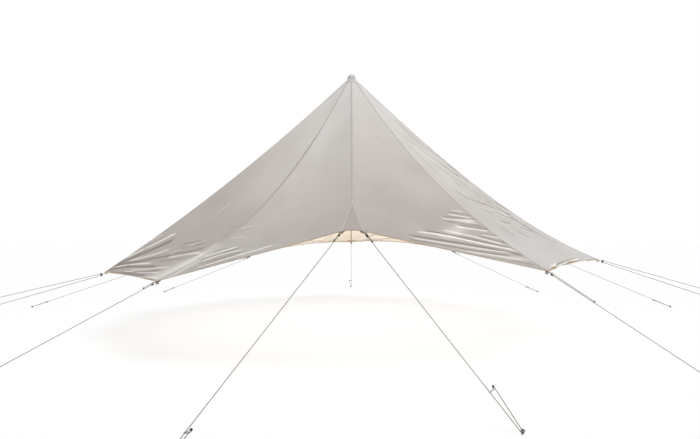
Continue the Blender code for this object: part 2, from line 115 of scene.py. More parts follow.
def mended(piece, merge=None):
    # faces turned outwards, after points nearer than merge are joined
    only(piece)
    bpy.ops.object.mode_set(mode="EDIT")
    bpy.ops.mesh.select_all(action="SELECT")
    if merge:
        bpy.ops.mesh.remove_doubles(threshold=merge)
    bpy.ops.mesh.normals_make_consistent(inside=False)
    bpy.ops.object.mode_set(mode="OBJECT")
    return piece


def smoothed(piece, degrees=40):
    only(piece)
    bpy.ops.object.shade_smooth_by_angle(angle=math.radians(degrees))
    return piece


def placedCopy(model, name, matrix):
    # its own mesh, with its place in the mesh
    mesh = model.data.copy()
    mesh.name = name
    mesh.transform(matrix)
    return linked(name, mesh)


def ridesOn(piece, body, slot, *nodes):
    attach(piece, body)
    if nodes:
        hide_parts(*nodes)
    return piece


def axesMatrix(origin, xAxis, yAxis, zAxis):
    return Matrix.Translation(origin) @ Matrix((xAxis, yAxis, zAxis)).transposed().to_4x4()


class Signal:
    # a node's socket that stands in sums with numbers and with others of its kind
    def __init__(self, tree, socket):
        self.tree, self.socket = tree, socket

    def __add__(self, other):
        return maths("ADD", self, other)

    def __sub__(self, other):
        return maths("SUBTRACT", self, other)

    def __rsub__(self, other):
        return maths("SUBTRACT", other, self)

    def __mul__(self, other):
        return maths("MULTIPLY", self, other)

    def __truediv__(self, other):
        return maths("DIVIDE", self, other)


def feed(value, socket):
    if isinstance(value, Signal):
        value.tree.links.new(value.socket, socket)
    else:
        socket.default_value = value


def treeOf(values):
    return next(value.tree for value in values if isinstance(value, Signal))


def nodeOf(tree, kind, inputs, output=0, **settings):
    # a new node with its settings and inputs: what its output gives
    node = tree.nodes.new("ShaderNode" + kind)
    for label, value in settings.items():
        setattr(node, label, value)
    for place, value in inputs.items():
        feed(value, node.inputs[place])
    return Signal(tree, node.outputs[output])


def maths(operation, *values, clamp=False):
    return nodeOf(treeOf(values), "Math", dict(enumerate(values)), operation=operation, use_clamp=clamp)


def between(value, low, high):
    # 0 at low, 1 at high, smooth between
    return nodeOf(value.tree, "MapRange", {0: value, 1: low, 2: high}, interpolation_type="SMOOTHSTEP")


def mixed(share, first, second):
    return nodeOf(share.tree, "Mix", {0: share, 6: first, 7: second}, 2, data_type="RGBA")


def noise(vector, scale, detail=3.0, rough=0.55):
    return nodeOf(vector.tree, "TexNoise",
                  {"Vector": vector, "Scale": scale, "Detail": detail, "Roughness": rough})


def stretched(vector, *scale):
    return nodeOf(vector.tree, "Mapping", {"Vector": vector, "Scale": scale})


def splitUp(vector):
    node = vector.tree.nodes.new("ShaderNodeSeparateXYZ")
    feed(vector, node.inputs[0])
    return [Signal(vector.tree, socket) for socket in node.outputs]


def newGroup(name, inputs, outputs):
    # an input's value is None where it takes a vector
    tree = bpy.data.node_groups.new(name, "ShaderNodeTree")
    for label, value in inputs.items():
        kind = "NodeSocketVector" if value is None else "NodeSocketFloat"
        socket = tree.interface.new_socket(label, in_out="INPUT", socket_type=kind)
        if value is not None:
            socket.default_value = value
    for label in outputs:
        tree.interface.new_socket(label, in_out="OUTPUT", socket_type="NodeSocketFloat")
    given = {socket.name: Signal(tree, socket) for socket in tree.nodes.new("NodeGroupInput").outputs}
    return tree, given, tree.nodes.new("NodeGroupOutput").inputs


def weaveGroup():
    # plain weave, with the thicker threads that show here and there
    tree, given, out = newGroup("clothWeave", {"Plan": None, "Pitch": 0.0012}, ["Height", "Thread"])
    across, along, _ = splitUp(given["Plan"])
    waves = [maths("SINE", way / given["Pitch"] * math.pi) for way in (across, along)]
    warp = noise(stretched(given["Plan"], 420.0, 9.0, 1.0), 1.0, 2.0)
    weft = noise(stretched(given["Plan"], 9.0, 420.0, 1.0), 1.0, 2.0)
    thick = warp + weft
    feed(waves[0] * waves[1] * 0.5 + thick, out["Height"])
    feed(between(thick, 0.7, 1.3), out["Thread"])
    return tree


def weatherGroup():
    # large soft patches of sun and rain, with finer ones inside
    tree, given, out = newGroup("weatherPatches", {"Place": None, "Scale": 1.0, "Low": 0.35, "High": 0.65},
                                ["Mask"])
    broad = noise(given["Place"], given["Scale"], 5.0, 0.6)
    feed(between(broad, given["Low"], given["High"]), out["Mask"])
    return tree


def stitchGroup():
    # a row of stitches: Across is the distance from the row
    tree, given, out = newGroup("stitchRow", {"Across": 0.0, "Along": 0.0, "Pitch": 0.006, "Width": 0.0009},
                                ["Thread"])
    line = 1.0 - between(maths("ABSOLUTE", given["Across"]), given["Width"] * 0.6, given["Width"])
    middle = maths("ABSOLUTE", maths("FRACT", given["Along"] / given["Pitch"]) - 0.5)
    feed(line * (1.0 - between(middle, 0.32, 0.40)), out["Thread"])
    return tree


def wearGroup():
    # rubbed edges and scratches of the hardware
    tree, given, out = newGroup("edgeWear", {"Place": None, "Low": 0.5, "High": 0.56}, ["Edge", "Scratch"])
    edge = between(nodeOf(tree, "NewGeometry", {}, "Pointiness"), given["Low"], given["High"])
    patch = noise(given["Place"], 260.0, 4.0, 0.7)
    feed(edge * between(patch, 0.35, 0.6), out["Edge"])
    fine = noise(stretched(given["Place"], 900.0, 120.0, 400.0), 1.0, 3.0, 0.7)
    feed(between(fine, 0.55, 0.75), out["Scratch"])
    return tree


weave, weather, stitch, wear = weaveGroup(), weatherGroup(), stitchGroup(), wearGroup()


def useGroup(group, **values):
    tree = treeOf(values.values())
    node = tree.nodes.new("ShaderNodeGroup")
    node.node_tree = group
    for label, value in values.items():
        feed(value, node.inputs[label])
    return {socket.name: Signal(tree, socket) for socket in node.outputs}


def newMaterial(name, roughness, **plain):
    material = bpy.data.materials.new(name)
    material.use_nodes = True
    shader = material.node_tree.nodes["Principled BSDF"]
    shader.inputs["Roughness"].default_value = roughness
    for label, value in plain.items():
        shader.inputs[label.replace("_", " ")].default_value = value
    return material, material.node_tree, shader


def finished(material, shader, colour, height, distance, strength):
    feed(colour, shader.inputs["Base Color"])
    feed(nodeOf(height.tree, "Bump", {"Strength": strength, "Distance": distance, "Height": height}),
         shader.inputs["Normal"])
    return material


def mixedShaders(share, shader, other):
    # the material shows its own shader, and the given share of the other
    tree = other.tree
    both = nodeOf(tree, "MixShader", {0: share, 1: Signal(tree, shader.outputs[0]), 2: other})
    feed(both, tree.nodes["Material Output"].inputs[0])


def planOf(tree, name):
    return nodeOf(tree, "UVMap", {}, uv_map=name)


def attributeOf(tree, name):
    return nodeOf(tree, "Attribute", {}, "Fac", attribute_name=name)


def placeOf(tree):
    return nodeOf(tree, "TexCoord", {}, "Object")


canvasFinish = {
    "outer": {"litAndBleached": (0.742, 0.748, 0.745, 1), "dusty": (0.438, 0.404, 0.378, 1), "through": 0.16},
    # the gusset is painted darker: painted shade of a face turned from the light
    "gusset": {"litAndBleached": (0.470, 0.425, 0.405, 1), "dusty": (0.370, 0.330, 0.310, 1), "through": 0.10},
    # the lining is painted lighter than the outside: painted light standing in for light through the canvas
    "inner": {"litAndBleached": (0.930, 0.865, 0.780, 1), "dusty": (0.860, 0.770, 0.660, 1), "through": 0.30},
    "cover": {"litAndBleached": (0.550, 0.550, 0.550, 1), "dusty": (0.480, 0.476, 0.470, 1), "through": 0.0},
    "paintedHighlight": (0.97, 0.945, 0.91, 1), "paintedShade": (0.240, 0.195, 0.177, 1), "thread": (0.42, 0.38, 0.33, 1),
    "paintedHighlightShare": 0.95, "paintedShadeShare": 0.85, "hemShare": 0.14, "patchShare": 0.14, "threadShare": 0.10,
    "hemBand": 0.030, "hemStitch": 0.026, "threadPitch": 0.0012, "roughness": 0.92,
    "patches": {"Scale": 1.3, "Low": 0.38, "High": 0.66}, "weaveHeight": 0.02, "bump": (0.006, 0.55),
}


def canvasMaterial(kind):
    # woven cotton; the tone attribute paints each panel's light and shade together with its bleaching and dust,
    # fold crests get a painted highlight and fold hollows a painted shade
    c, finish = canvasFinish, canvasFinish[kind]
    material, tree, shader = newMaterial("canvas_" + kind, c["roughness"], Sheen_Weight=0.15,
                                         Sheen_Roughness=0.5, Specular_IOR_Level=0.25)
    plan = planOf(tree, "canvasPlan")
    threads = useGroup(weave, Plan=plan, Pitch=c["threadPitch"])
    patches = useGroup(weather, Place=placeOf(tree), **c["patches"])
    level = maths("SUBTRACT", attributeOf(tree, "tone"), patches["Mask"] * c["patchShare"], clamp=True)
    colour = mixed(level, finish["dusty"], finish["litAndBleached"])
    colour = mixed(threads["Thread"] * c["threadShare"], colour, finish["dusty"])
    foldShading = attributeOf(tree, "foldShading")
    # painted shade in the fold hollows, painted highlight on the fold crests
    for label, way in (("paintedShade", -1.0), ("paintedHighlight", 1.0)):
        part = maths("MULTIPLY", foldShading, way, clamp=True)
        colour = mixed(part * c[label + "Share"], colour, c[label])
    hemGap = attributeOf(tree, "hemGap")
    # a painted shade band along the hem, where the doubled cloth lets less light through
    colour = mixed(maths("LESS_THAN", hemGap, c["hemBand"]) * c["hemShare"], colour, c["paintedShade"])
    row = useGroup(stitch, Across=hemGap - c["hemStitch"], Along=splitUp(plan)[0])
    colour = mixed(row["Thread"], colour, c["thread"])
    fine = noise(stretched(plan, 7.0, 3.5, 1.0), 1.0, 6.0, 0.62)
    if finish["through"]:
        mixedShaders(finish["through"], shader, nodeOf(tree, "BsdfTranslucent", {"Color": colour}))
    return finished(material, shader, colour, threads["Height"] * c["weaveHeight"] + fine, *c["bump"])


tapeFinish = {
    "seam": {"pale": (0.620, 0.590, 0.565, 1), "worn": (0.500, 0.465, 0.440, 1), "rows": (0.0055, -0.0055),
             "shade": (0.230, 0.205, 0.190, 1), "shadeBand": (0.0018, 0.0052)},
    "tan": {"pale": (0.430, 0.300, 0.170, 1), "worn": (0.280, 0.190, 0.105, 1), "rows": (0.0075, -0.0075)},
    "binding": {"pale": (0.420, 0.310, 0.200, 1), "worn": (0.240, 0.180, 0.110, 1), "rows": (0.010, 0.006)},
    "thread": (0.62, 0.56, 0.47, 1), "patches": {"Scale": 14.0, "Low": 0.4, "High": 0.7},
    "rib": 0.0022, "slant": 900.0, "bump": (0.0005, 0.7),
}


def tapeMaterial(kind):
    # ribbed webbing or seam cloth with its rows of stitches
    t, finish = tapeFinish, tapeFinish[kind]
    material, tree, shader = newMaterial("tape_" + kind, 0.88, Sheen_Weight=0.1, Specular_IOR_Level=0.25)
    across, along, _ = splitUp(planOf(tree, "tapePlan"))
    patches = useGroup(weather, Place=placeOf(tree), **t["patches"])
    colour = mixed(patches["Mask"], finish["pale"], finish["worn"])
    if "shade" in finish:                # painted shade along both edges of the seam
        colour = mixed(between(maths("ABSOLUTE", across), *finish["shadeBand"]), colour, finish["shade"])
    height = maths("SINE", along / t["rib"] * (2 * math.pi) + across * t["slant"]) * 0.5
    for place in finish["rows"]:
        row = useGroup(stitch, Across=across - place, Along=along)
        colour = mixed(row["Thread"], colour, t["thread"])
        height = height + row["Thread"]
    return finished(material, shader, colour, height, *t["bump"])


ropeFinish = {
    "khaki": {"pale": (0.380, 0.365, 0.285, 1), "deep": (0.115, 0.108, 0.078, 1)},
    # knots, toggles and whippings are coloured near black
    "darkCoil": {"pale": (0.060, 0.048, 0.038, 1), "deep": (0.020, 0.016, 0.013, 1)},
    "strands": 3, "patches": {"Scale": 5.0, "Low": 0.4, "High": 0.75}, "bump": (0.0006, 0.6),
}


def ropeMaterial(kind):
    # twisted strands: the plan's first number goes once round the rope, the second along it
    r, finish = ropeFinish, ropeFinish[kind]
    material, tree, shader = newMaterial("rope_" + kind, 0.85, Sheen_Weight=0.2, Specular_IOR_Level=0.3)
    plan = planOf(tree, "ropePlan")
    lobe = maths("COSINE", splitUp(plan)[0] * (r["strands"] * 2 * math.pi))
    fibre = noise(stretched(plan, 60.0, 260.0, 1.0), 1.0, 3.0, 0.7)
    dirt = useGroup(weather, Place=placeOf(tree), **r["patches"])["Mask"]
    colour = finish["pale"]
    # the grooves between the strands are darkened with painted shade; dirt and fibres are the rope's own colour
    for depth, share in ((dirt, 0.35), (fibre, 0.35), (between(lobe, 0.1, -0.9), 0.8)):
        colour = mixed(depth * share, colour, finish["deep"])
    return finished(material, shader, colour, fibre, *r["bump"])


metalFinish = {
    "runner": {"base": (0.330, 0.320, 0.350, 1), "rubbed": (0.640, 0.630, 0.640, 1), "roughness": 0.42,
               "metal": 0.4},
    "ring": {"base": (0.280, 0.270, 0.255, 1), "rubbed": (0.600, 0.590, 0.570, 1), "roughness": 0.40,
             "metal": 0.05},
    "peg": {"base": (0.018, 0.018, 0.020, 1), "rubbed": (0.260, 0.255, 0.250, 1), "roughness": 0.48,
            "metal": 0.05},
    "scratchShare": 0.35, "bareMetal": 0.6, "grain": (1800.0, 2.0), "grainShare": 0.25, "grainDrop": 0.12,
    "bump": (0.0001, 0.4),
}


def metalMaterial(kind):
    m, finish = metalFinish, metalFinish[kind]
    material, tree, shader = newMaterial("metal_" + kind, finish["roughness"])
    place = placeOf(tree)
    rub = useGroup(wear, Place=place)
    worn = maths("MAXIMUM", rub["Edge"], rub["Scratch"] * m["scratchShare"])
    grain = noise(place, *m["grain"])
    feed(maths("ADD", worn * m["bareMetal"], finish["metal"], clamp=True), shader.inputs["Metallic"])
    feed(grain * m["grainShare"] + (finish["roughness"] - m["grainDrop"]), shader.inputs["Roughness"])
    return finished(material, shader, mixed(worn, finish["base"], finish["rubbed"]), grain, *m["bump"])


finishes = {
    **{kind: canvasMaterial(kind) for kind in ("outer", "gusset", "inner", "cover")},
    **{kind: tapeMaterial(kind) for kind in ("seam", "tan", "binding")},
    **{kind: ropeMaterial(kind) for kind in ("khaki", "darkCoil")},
    **{kind: metalMaterial(kind) for kind in ("runner", "ring", "peg")},
}

setCamera()
print("camera and finishes ready")


# The canopy's own sizes, the same as its solids'
canopy = {
    "peakHeight": 2.925, "peakRadius": 0.055, "pitch": 1.02,
    "cornerRadius": 2.75, "cornerHeight": 0.74, "sideTilt": 0.07,   # one side is guyed lower
    "backRadius": 2.80, "backHeight": 0.915,
    "doorRadius": 2.71, "doorHeight": 1.11, "doorWidth": 0.17,
    "splitRadius": 2.08, "gussetRise": 0.012,
    "sag": 0.03, "thickness": 0.0008,
    "slant": 3.46, "topWidth": 0.034, "hemWidth": 1.70,             # one panel, cut flat
    "merge": 0.00002,                                               # how near points of two panels join
}
seamPitches = {"front_left": 1.36, "front_right": 1.12, "side_left": 0.975, "side_right": 0.975}
seamPowers = {"side_right": 3.0}     # how late a seam flattens, where it isn't 2
split = (canopy["splitRadius"] - canopy["peakRadius"]) / (canopy["doorRadius"] - canopy["peakRadius"])
doorAngle = math.degrees(math.atan2(canopy["doorWidth"] / 2, canopy["doorRadius"]))
corners = {
    "door_left": -doorAngle, "door_right": doorAngle, "front_left": -36.0, "front_right": 36.0,
    "side_left": -72.0, "side_right": 72.0, "rear_left": -108.0, "rear_right": 108.0,
    "back_left": -144.0, "back_right": 144.0, "back": 180.0,
}

# Each panel's corners, columns, crowding of the columns towards a seam, and cut of the hem
panels = {
    "front_left": ("front_left", "door_left", 70, 1.35, 0.0),
    "front_right": ("door_right", "front_right", 80, -1.25, 0.0),
    "side_left": ("side_left", "front_left", 130, 1.0, 0.02),
    "side_right": ("front_right", "side_right", 80, 1.0, 0.04),
    "rear_left": ("rear_left", "side_left", 18, 1.0, 0.10),
    "rear_right": ("side_right", "rear_right", 18, 1.0, 0.10),
    "flank_left": ("back_left", "rear_left", 18, 1.0, 0.12),
    "flank_right": ("rear_right", "back_right", 18, 1.0, 0.12),
    "back_left": ("back", "back_left", 18, 1.0, 0.15),
    "back_right": ("back_right", "back", 18, 1.0, 0.15),
}
behind = ("rear_left", "rear_right", "flank_left", "flank_right", "back_left", "back_right")

# How bleached and lit (1) or dusty and shaded (0) each panel is from the peak down to the hem: painted light
# and shade of each panel's side towards the lamps, with sun bleaching and dust
toneStops = (0.0, 0.2, 0.4, 0.6, 0.8, 1.0)
tones = {
    "front_left": (0.85, 0.66, 0.40, 0.27, 0.22, 0.20),
    "front_right": (0.72, 0.48, 0.27, 0.15, 0.13, 0.13),
    "side_left": (0.75, 0.60, 0.36, 0.12, 0.02, 0.05),
    "side_right": (0.70, 0.60, 0.50, 0.40, 0.47, 0.62),
    "gusset": (0.5, 0.5, 0.5, 0.5, 0.5, 0.5),
    "behind": (0.8, 0.7, 0.6, 0.5, 0.45, 0.4),
}

# The folds as strokes: painted highlight (+) or painted shade (-) in hundredths, height and half width in
# millimetres, then the places that the stroke passes, across and down, in thousandths of the panel
strokes = {
    "front_right": [
        (95, 12, 10, 330, 899, 470, 881, 610, 879, 770, 886, 940, 882, 1000, 893),
        (-75, -8, 19, 250, 940, 580, 910, 810, 902, 1020, 908),
        (70, 8, 9, 560, 833, 670, 835, 780, 839, 960, 856),
        (-65, -6, 13, 400, 866, 590, 855, 760, 858, 1000, 873),
        (55, 7, 9, 240, 965, 500, 942, 660, 931, 830, 916, 980, 903),
        (-60, -6, 15, 220, 979, 480, 960, 630, 952, 900, 928),
        (35, 5, 8, 500, 979, 610, 970, 780, 955, 940, 950), (-45, -5, 11, 500, 995, 760, 974, 980, 966),
        (60, 7, 8, 870, 812, 970, 812, 1000, 813), (-55, -5, 8, 880, 799, 1020, 802),
        (-65, -6, 10, 820, 826, 1010, 838), (55, 7, 9, 710, 786, 840, 784, 940, 781, 980, 779),
        (-90, -7, 10, 760, 768, 900, 761, 1010, 764), (35, 4, 7, 870, 742, 980, 744),
        (45, 6, 9, 660, 743, 770, 739, 890, 729, 960, 727), (-60, -5, 9, 680, 757, 810, 753, 990, 744),
        (-60, -5, 8, 690, 728, 830, 719, 1000, 712), (45, 5, 8, 760, 706, 890, 709, 970, 710),
        (-60, -5, 8, 790, 690, 1000, 690), (30, 4, 7, 830, 678, 950, 676),
        (22, 0, 68, 980, 700, 840, 748, 640, 835, 470, 905),
        (20, 0, 40, 550, 985, 800, 962, 930, 940, 1050, 930),
    ],
    "front_left": [
        (26, 0, 60, -30, 730, 0, 800, 20, 880, 40, 950, 20, 1060),
        (75, 8, 9, 40, 836, 100, 832, 170, 830, 280, 831), (-70, -7, 12, 30, 853, 130, 851, 220, 849, 310, 850),
        (-30, -4, 8, 40, 808, 170, 806), (80, 9, 9, 80, 872, 230, 868, 380, 885),
        (-70, -7, 12, 100, 902, 220, 898, 300, 900, 400, 905), (40, 6, 8, 90, 884, 170, 881),
        (-65, -6, 13, 80, 950, 220, 925, 360, 918),
        (75, 10, 10, 170, 962, 230, 961, 310, 951, 400, 946, 500, 947, 640, 945),
        (-45, -6, 13, 160, 982, 280, 966, 440, 969), (-22, 0, 40, 110, 990, 340, 995, 530, 992),
        (30, 4, 8, 30, 665, 150, 671), (30, 4, 8, 50, 724, 200, 744), (-22, -3, 9, 40, 680, 160, 686),
        (-22, -3, 9, 240, 833, 350, 841), (-75, 0, 14, 0, 180, 0, 320, 0, 450, 0, 680),
    ],
    "side_left": [
        (75, 10, 11, 0, 931, 60, 893, 100, 868, 152, 829, 195, 780, 220, 760), (35, 5, 9, 10, 835, 70, 788),
        (-62, -8, 32, 0, 960, 120, 904, 200, 864, 310, 785),
        (50, 7, 12, 140, 932, 250, 903, 360, 872, 460, 825),
        (-80, -8, 15, -50, 994, 90, 975, 250, 954, 450, 938, 660, 918),
        (-75, -8, 16, -40, 972, 110, 945, 330, 914, 450, 883, 620, 845),
        (75, 9, 10, 50, 972, 150, 960, 330, 935, 520, 912),
        (-50, -6, 12, 220, 990, 400, 984, 600, 962, 800, 930), (60, 7, 9, 380, 970, 600, 944, 840, 906),
        (-75, -6, 15, 100, 997, 300, 990, 500, 987, 740, 976), (55, 6, 8, 320, 979, 620, 967, 840, 947),
        (45, 5, 7, 660, 994, 940, 977), (-35, -4, 7, 720, 1000, 970, 989),
        (-60, -7, 11, 580, 845, 720, 819, 870, 776), (60, 8, 9, 600, 870, 770, 832, 910, 804),
        (-45, -5, 9, 580, 815, 780, 757), (35, 5, 8, 600, 795, 760, 742), (-40, -5, 9, 500, 795, 730, 748),
        (-40, -5, 10, 560, 898, 790, 852, 940, 814), (-35, -4, 8, 870, 680, 950, 642),
        (-35, -4, 8, 900, 715, 990, 672), (26, 0, 80, 1000, 730, 980, 790, 950, 860, 930, 940, 970, 1060),
        (20, 0, 150, 960, 790, 910, 870, 870, 950, 860, 1120), (-45, 0, 12, 1000, 220, 1000, 450, 1000, 680),
        (-25, 0, 9, 360, 645, 340, 578), (-25, 0, 9, 465, 644, 505, 554), (12, 0, 9, 400, 650, 400, 570),
        (-20, 0, 9, 200, 622, 205, 573), (-50, 0, 8, 480, 843, 580, 800, 680, 762),
        (35, 0, 8, 500, 850, 690, 774), (-45, 0, 8, 640, 858, 740, 824, 870, 785),
        (-35, 0, 8, 800, 867, 980, 826), (-45, 0, 8, 86, 929, 115, 860, 145, 796),
        (-45, 0, 8, 135, 915, 217, 840, 305, 771), (35, 0, 8, 160, 915, 240, 845, 320, 780),
        (-50, 0, 8, 200, 964, 330, 913, 470, 857), (-40, 0, 8, 240, 978, 470, 955, 670, 918),
    ],
    "side_right": [
        (-84, -7, 10, 330, 550, 440, 585), (-70, -5, 9, 580, 597, 650, 619), (-84, -5, 9, 670, 606, 750, 641),
        (-49, -5, 9, 460, 640, 560, 668), (-70, -6, 10, 680, 650, 737, 676, 800, 700, 860, 722),
        (40, 5, 9, 690, 640, 740, 662, 830, 692), (-70, -5, 10, 500, 707, 620, 725),
        (-63, -5, 10, 520, 766, 600, 813), (-77, -5, 10, 310, 742, 350, 795), (-63, -5, 10, 720, 745, 820, 784),
        (-49, -5, 9, 600, 500, 680, 530), (30, 4, 10, 400, 700, 520, 740), (-60, -5, 9, 490, 580, 560, 604),
        (35, 4, 9, 660, 600, 730, 626), (110, 18, 10, 70, 990, 260, 970),
        (120, 22, 11, 160, 991, 420, 977, 700, 971), (60, 10, 9, 390, 989, 630, 987, 900, 983),
        (-40, -6, 12, 200, 978, 460, 966, 740, 962), (-28, -7, 18, 840, 620, 860, 700, 840, 800, 900, 870),
        (-62, 0, 8, 550, 385, 660, 447, 730, 492, 790, 526),
        (-70, 0, 8, 760, 400, 840, 449, 910, 481, 960, 508), (-70, 0, 8, 920, 400, 980, 445, 1030, 480),
        (-55, 0, 9, 800, 190, 840, 270, 900, 335, 980, 408), (-42, 0, 8, 500, 270, 600, 305, 670, 340),
        (-42, 0, 8, 700, 258, 760, 297, 800, 338), (-32, 0, 8, 200, 285, 340, 360, 420, 450),
        (-36, 0, 8, 270, 345, 340, 405, 380, 473), (-42, 0, 8, 600, 340, 730, 380, 830, 427),
        (30, 0, 12, 460, 300, 580, 350, 680, 410), (-55, 0, 8, 960, 430, 985, 470, 990, 510),
        (-45, 0, 8, 800, 452, 910, 482), (-45, 0, 8, 740, 510, 770, 545, 780, 581),
        (-50, 0, 8, 685, 568, 750, 596), (-50, 0, 8, 820, 540, 870, 580, 890, 613),
        (-70, 0, 9, 755, 597, 830, 619), (-95, 0, 9, 920, 610, 965, 638, 1000, 667),
        (-40, 0, 8, 600, 694, 700, 718), (-70, 0, 9, 735, 640, 820, 664, 920, 685),
        (-45, 0, 8, 520, 746, 655, 785), (-55, 0, 8, 830, 730, 885, 748), (-40, 0, 8, 860, 758, 900, 799),
        (35, 0, 8, 700, 585, 760, 610), (35, 0, 8, 760, 652, 860, 690),
    ],
}


hidden = {
    "pulls": 7, "turn": 0.10, "turnStep": 0.13, "turnDraw": 0.03, "reach": (0.35, 0.95),
    "from": 0.05, "fromStep": 0.02, "low": 0.975, "lowStep": 0.012,    # where the pulls start, in the panel
    "farthest": 0.60, "wide": 0.62, "tall": 0.30, "height": (4, 11), "size": (14, 20),
    "paintedHighlight": 0.05, "paintedShade": -0.04, "hollowDrop": 0.009, "hollowDepth": -0.7,
}


def hiddenFolds(seed):
    # the panels behind: pulls that run from the corners along the hem and up the cloth, each a crest with a
    # painted highlight and a hollow with painted shade
    h, draw, found = hidden, np.random.default_rng(seed), []
    for corner in (0, 1):
        for i in range(h["pulls"]):
            turn = h["turn"] + h["turnStep"] * i + draw.uniform(-h["turnDraw"], h["turnDraw"])
            reach = draw.uniform(*h["reach"])
            start = (h["from"] + h["fromStep"] * i, h["low"] - h["lowStep"] * i)
            end = (min(h["farthest"], h["from"] + reach * math.cos(turn) * h["wide"]),
                   h["low"] - reach * math.sin(turn) * h["tall"])
            height, size = draw.uniform(*h["height"]), draw.uniform(*h["size"])
            for tone, depth, drop in ((h["paintedHighlight"], 1.0, 0.0), (h["paintedShade"], h["hollowDepth"], h["hollowDrop"])):
                line = [(1 - u if corner else u, v + drop) for u, v in (start, end)]
                found.append((height * tone, height * depth, size, *line))
    return found


folds = {label: hiddenFolds(11 + number) for number, label in enumerate(behind)}
for label, rows in strokes.items():
    folds[label] = [(tone / 100, height, size, *((u / 1000, v / 1000) for u, v in zip(line[::2], line[1::2])))
                    for tone, height, size, *line in rows]

foldSizes = {
    "spacing": 0.05, "passes": 2, "spread": 1.15,         # how wide the cloth lifts to a stroke's width
    "fadeIn": 0.08, "fadeOut": 0.90, "edge": 0.02, "outwards": 0.62, "upwards": 0.785,
    "paleGain": 1.8, "darkGain": 2.3, "flatGain": 1.4,    # flatGain is for strokes that lift nothing
}


def lengths(points):
    # how far along a line each of its points lies
    return np.concatenate([[0], np.cumsum(np.linalg.norm(np.diff(points, axis=0), axis=1))])


def dense(points, spacing):
    # points along a line at even steps
    points = np.array([tuple(p) for p in points], float)
    length = lengths(points)
    even = np.linspace(0.0, length[-1], max(2, int(round(length[-1] / spacing)) + 1))
    return np.stack([np.interp(even, length, column) for column in points.T], axis=1)


def rounded(points, passes):
    # softens the corners of a line and keeps its ends
    for _ in range(passes):
        points[1:-1] = 0.25 * points[:-2] + 0.5 * points[1:-1] + 0.25 * points[2:]
    return points


def smooth(low, high, value):
    share = np.clip((value - low) / (high - low), 0.0, 1.0)
    return share * share * (3.0 - 2.0 * share)


def unit(vectors):
    return vectors / np.linalg.norm(vectors, axis=-1, keepdims=True)


def endOf(corner):
    pitch = seamPitches.get(corner, canopy["pitch"])
    if corner.startswith("door"):
        return canopy["doorRadius"], canopy["doorHeight"], pitch
    if corner == "back":
        return canopy["backRadius"], canopy["backHeight"], pitch
    height = canopy["cornerHeight"] + canopy["sideTilt"] * math.sin(math.radians(corners[corner]))
    return canopy["cornerRadius"], height, pitch


def seamPlace(corner, down):
    # points of a seam; down is 0 at the peak and 1 at the hem
    down = np.asarray(down, float)
    reach, height, pitch = endOf(corner)
    run, fall = reach - canopy["peakRadius"], canopy["peakHeight"] - height
    flare = pitch * run / fall - 1.0
    level = (1.0 + flare) * down - flare * down ** seamPowers.get(corner, 2.0)
    z = canopy["peakHeight"] - fall * level + ground
    radius = canopy["peakRadius"] + down * run
    if corner.startswith("door"):
        spread = np.clip((down - split) / (1.0 - split), 0.0, None)
        x = math.copysign(canopy["doorWidth"] / 2, corners[corner]) * spread
        return np.stack([x, -radius, z], axis=-1)
    turn = math.radians(corners[corner])
    return np.stack([radius * math.sin(turn), -radius * math.cos(turn), z], axis=-1)


def cutWidth(down):
    return canopy["topWidth"] + (canopy["hemWidth"] - canopy["topWidth"]) * down


def cutPlace(across, down):
    # where a point of a panel lies in the flat cloth
    return (across - 0.5) * cutWidth(down), down * canopy["slant"]


def foldField(panel, across, down):
    # height of the folds, and the painted highlight (+) or painted shade (-) at each point
    f = foldSizes
    lift, foldShading = np.zeros_like(down), np.zeros_like(down)
    x, y = cutPlace(across, down)
    for tone, height, size, *line in folds[panel]:
        spots = rounded(dense([cutPlace(u, v) for u, v in line], f["spacing"]), f["passes"])
        steps = np.linalg.norm(np.diff(spots, axis=0), axis=1)
        nearest, along = np.full_like(down, 9.0), np.zeros_like(down)
        for begun, step, a, b in zip(np.cumsum(steps) - steps, steps, spots, spots[1:]):
            way = (b - a) / step
            part = np.clip((x - a[0]) * way[0] + (y - a[1]) * way[1], 0.0, step)
            gap = np.hypot(x - a[0] - part * way[0], y - a[1] - part * way[1])
            along = np.where(gap < nearest, (begun + part) / steps.sum(), along)
            nearest = np.minimum(gap, nearest)
        ends = smooth(0.0, f["fadeIn"], along) * (1.0 - smooth(f["fadeOut"], 1.0, along))
        lift += height / 1000.0 * ends * np.exp(-(nearest * 1000.0 / (size * f["spread"])) ** 2)
        gain = f["flatGain"] if not height else f["paleGain"] if tone > 0 else f["darkGain"]
        foldShading += tone * gain * ends * np.exp(-(nearest * 1000.0 / size) ** 2)
    edge = smooth(0.0, f["edge"], across) * (1.0 - smooth(1.0 - f["edge"], 1.0, across))
    return lift * edge, np.clip(foldShading, -1.0, 1.0)


def panelPlace(panel, across, share, folded=True):
    # points of the cloth's underside, the painted fold highlight and shade at each, and how far down the seams
    # each lies
    first, second, _, _, cut = panels[panel]
    across, share = np.broadcast_arrays(np.asarray(across, float), np.asarray(share, float))
    run = canopy["cornerRadius"] - canopy["peakRadius"]
    down = share * (1.0 - cut * 4.0 * across * (1.0 - across) / run)
    left, right = seamPlace(first, down), seamPlace(second, down)
    place = left + (right - left) * across[..., None]
    place[..., 2] -= canopy["sag"] * np.sin(math.pi * across) * np.sin(math.pi * down)
    foldShading = np.zeros_like(down)
    if folded:
        lift, foldShading = foldField(panel, across, down)
        ends = [corners[first], corners[second]]
        if panel == "back_left":             # the back seam counts as 180 or as -180 degrees
            ends[0] -= 360.0
        middle = math.radians(sum(ends) / 2)
        flat = foldSizes["outwards"]
        outwards = np.array([flat * math.sin(middle), -flat * math.cos(middle), foldSizes["upwards"]])
        place += lift[..., None] * outwards
    return place, foldShading, down


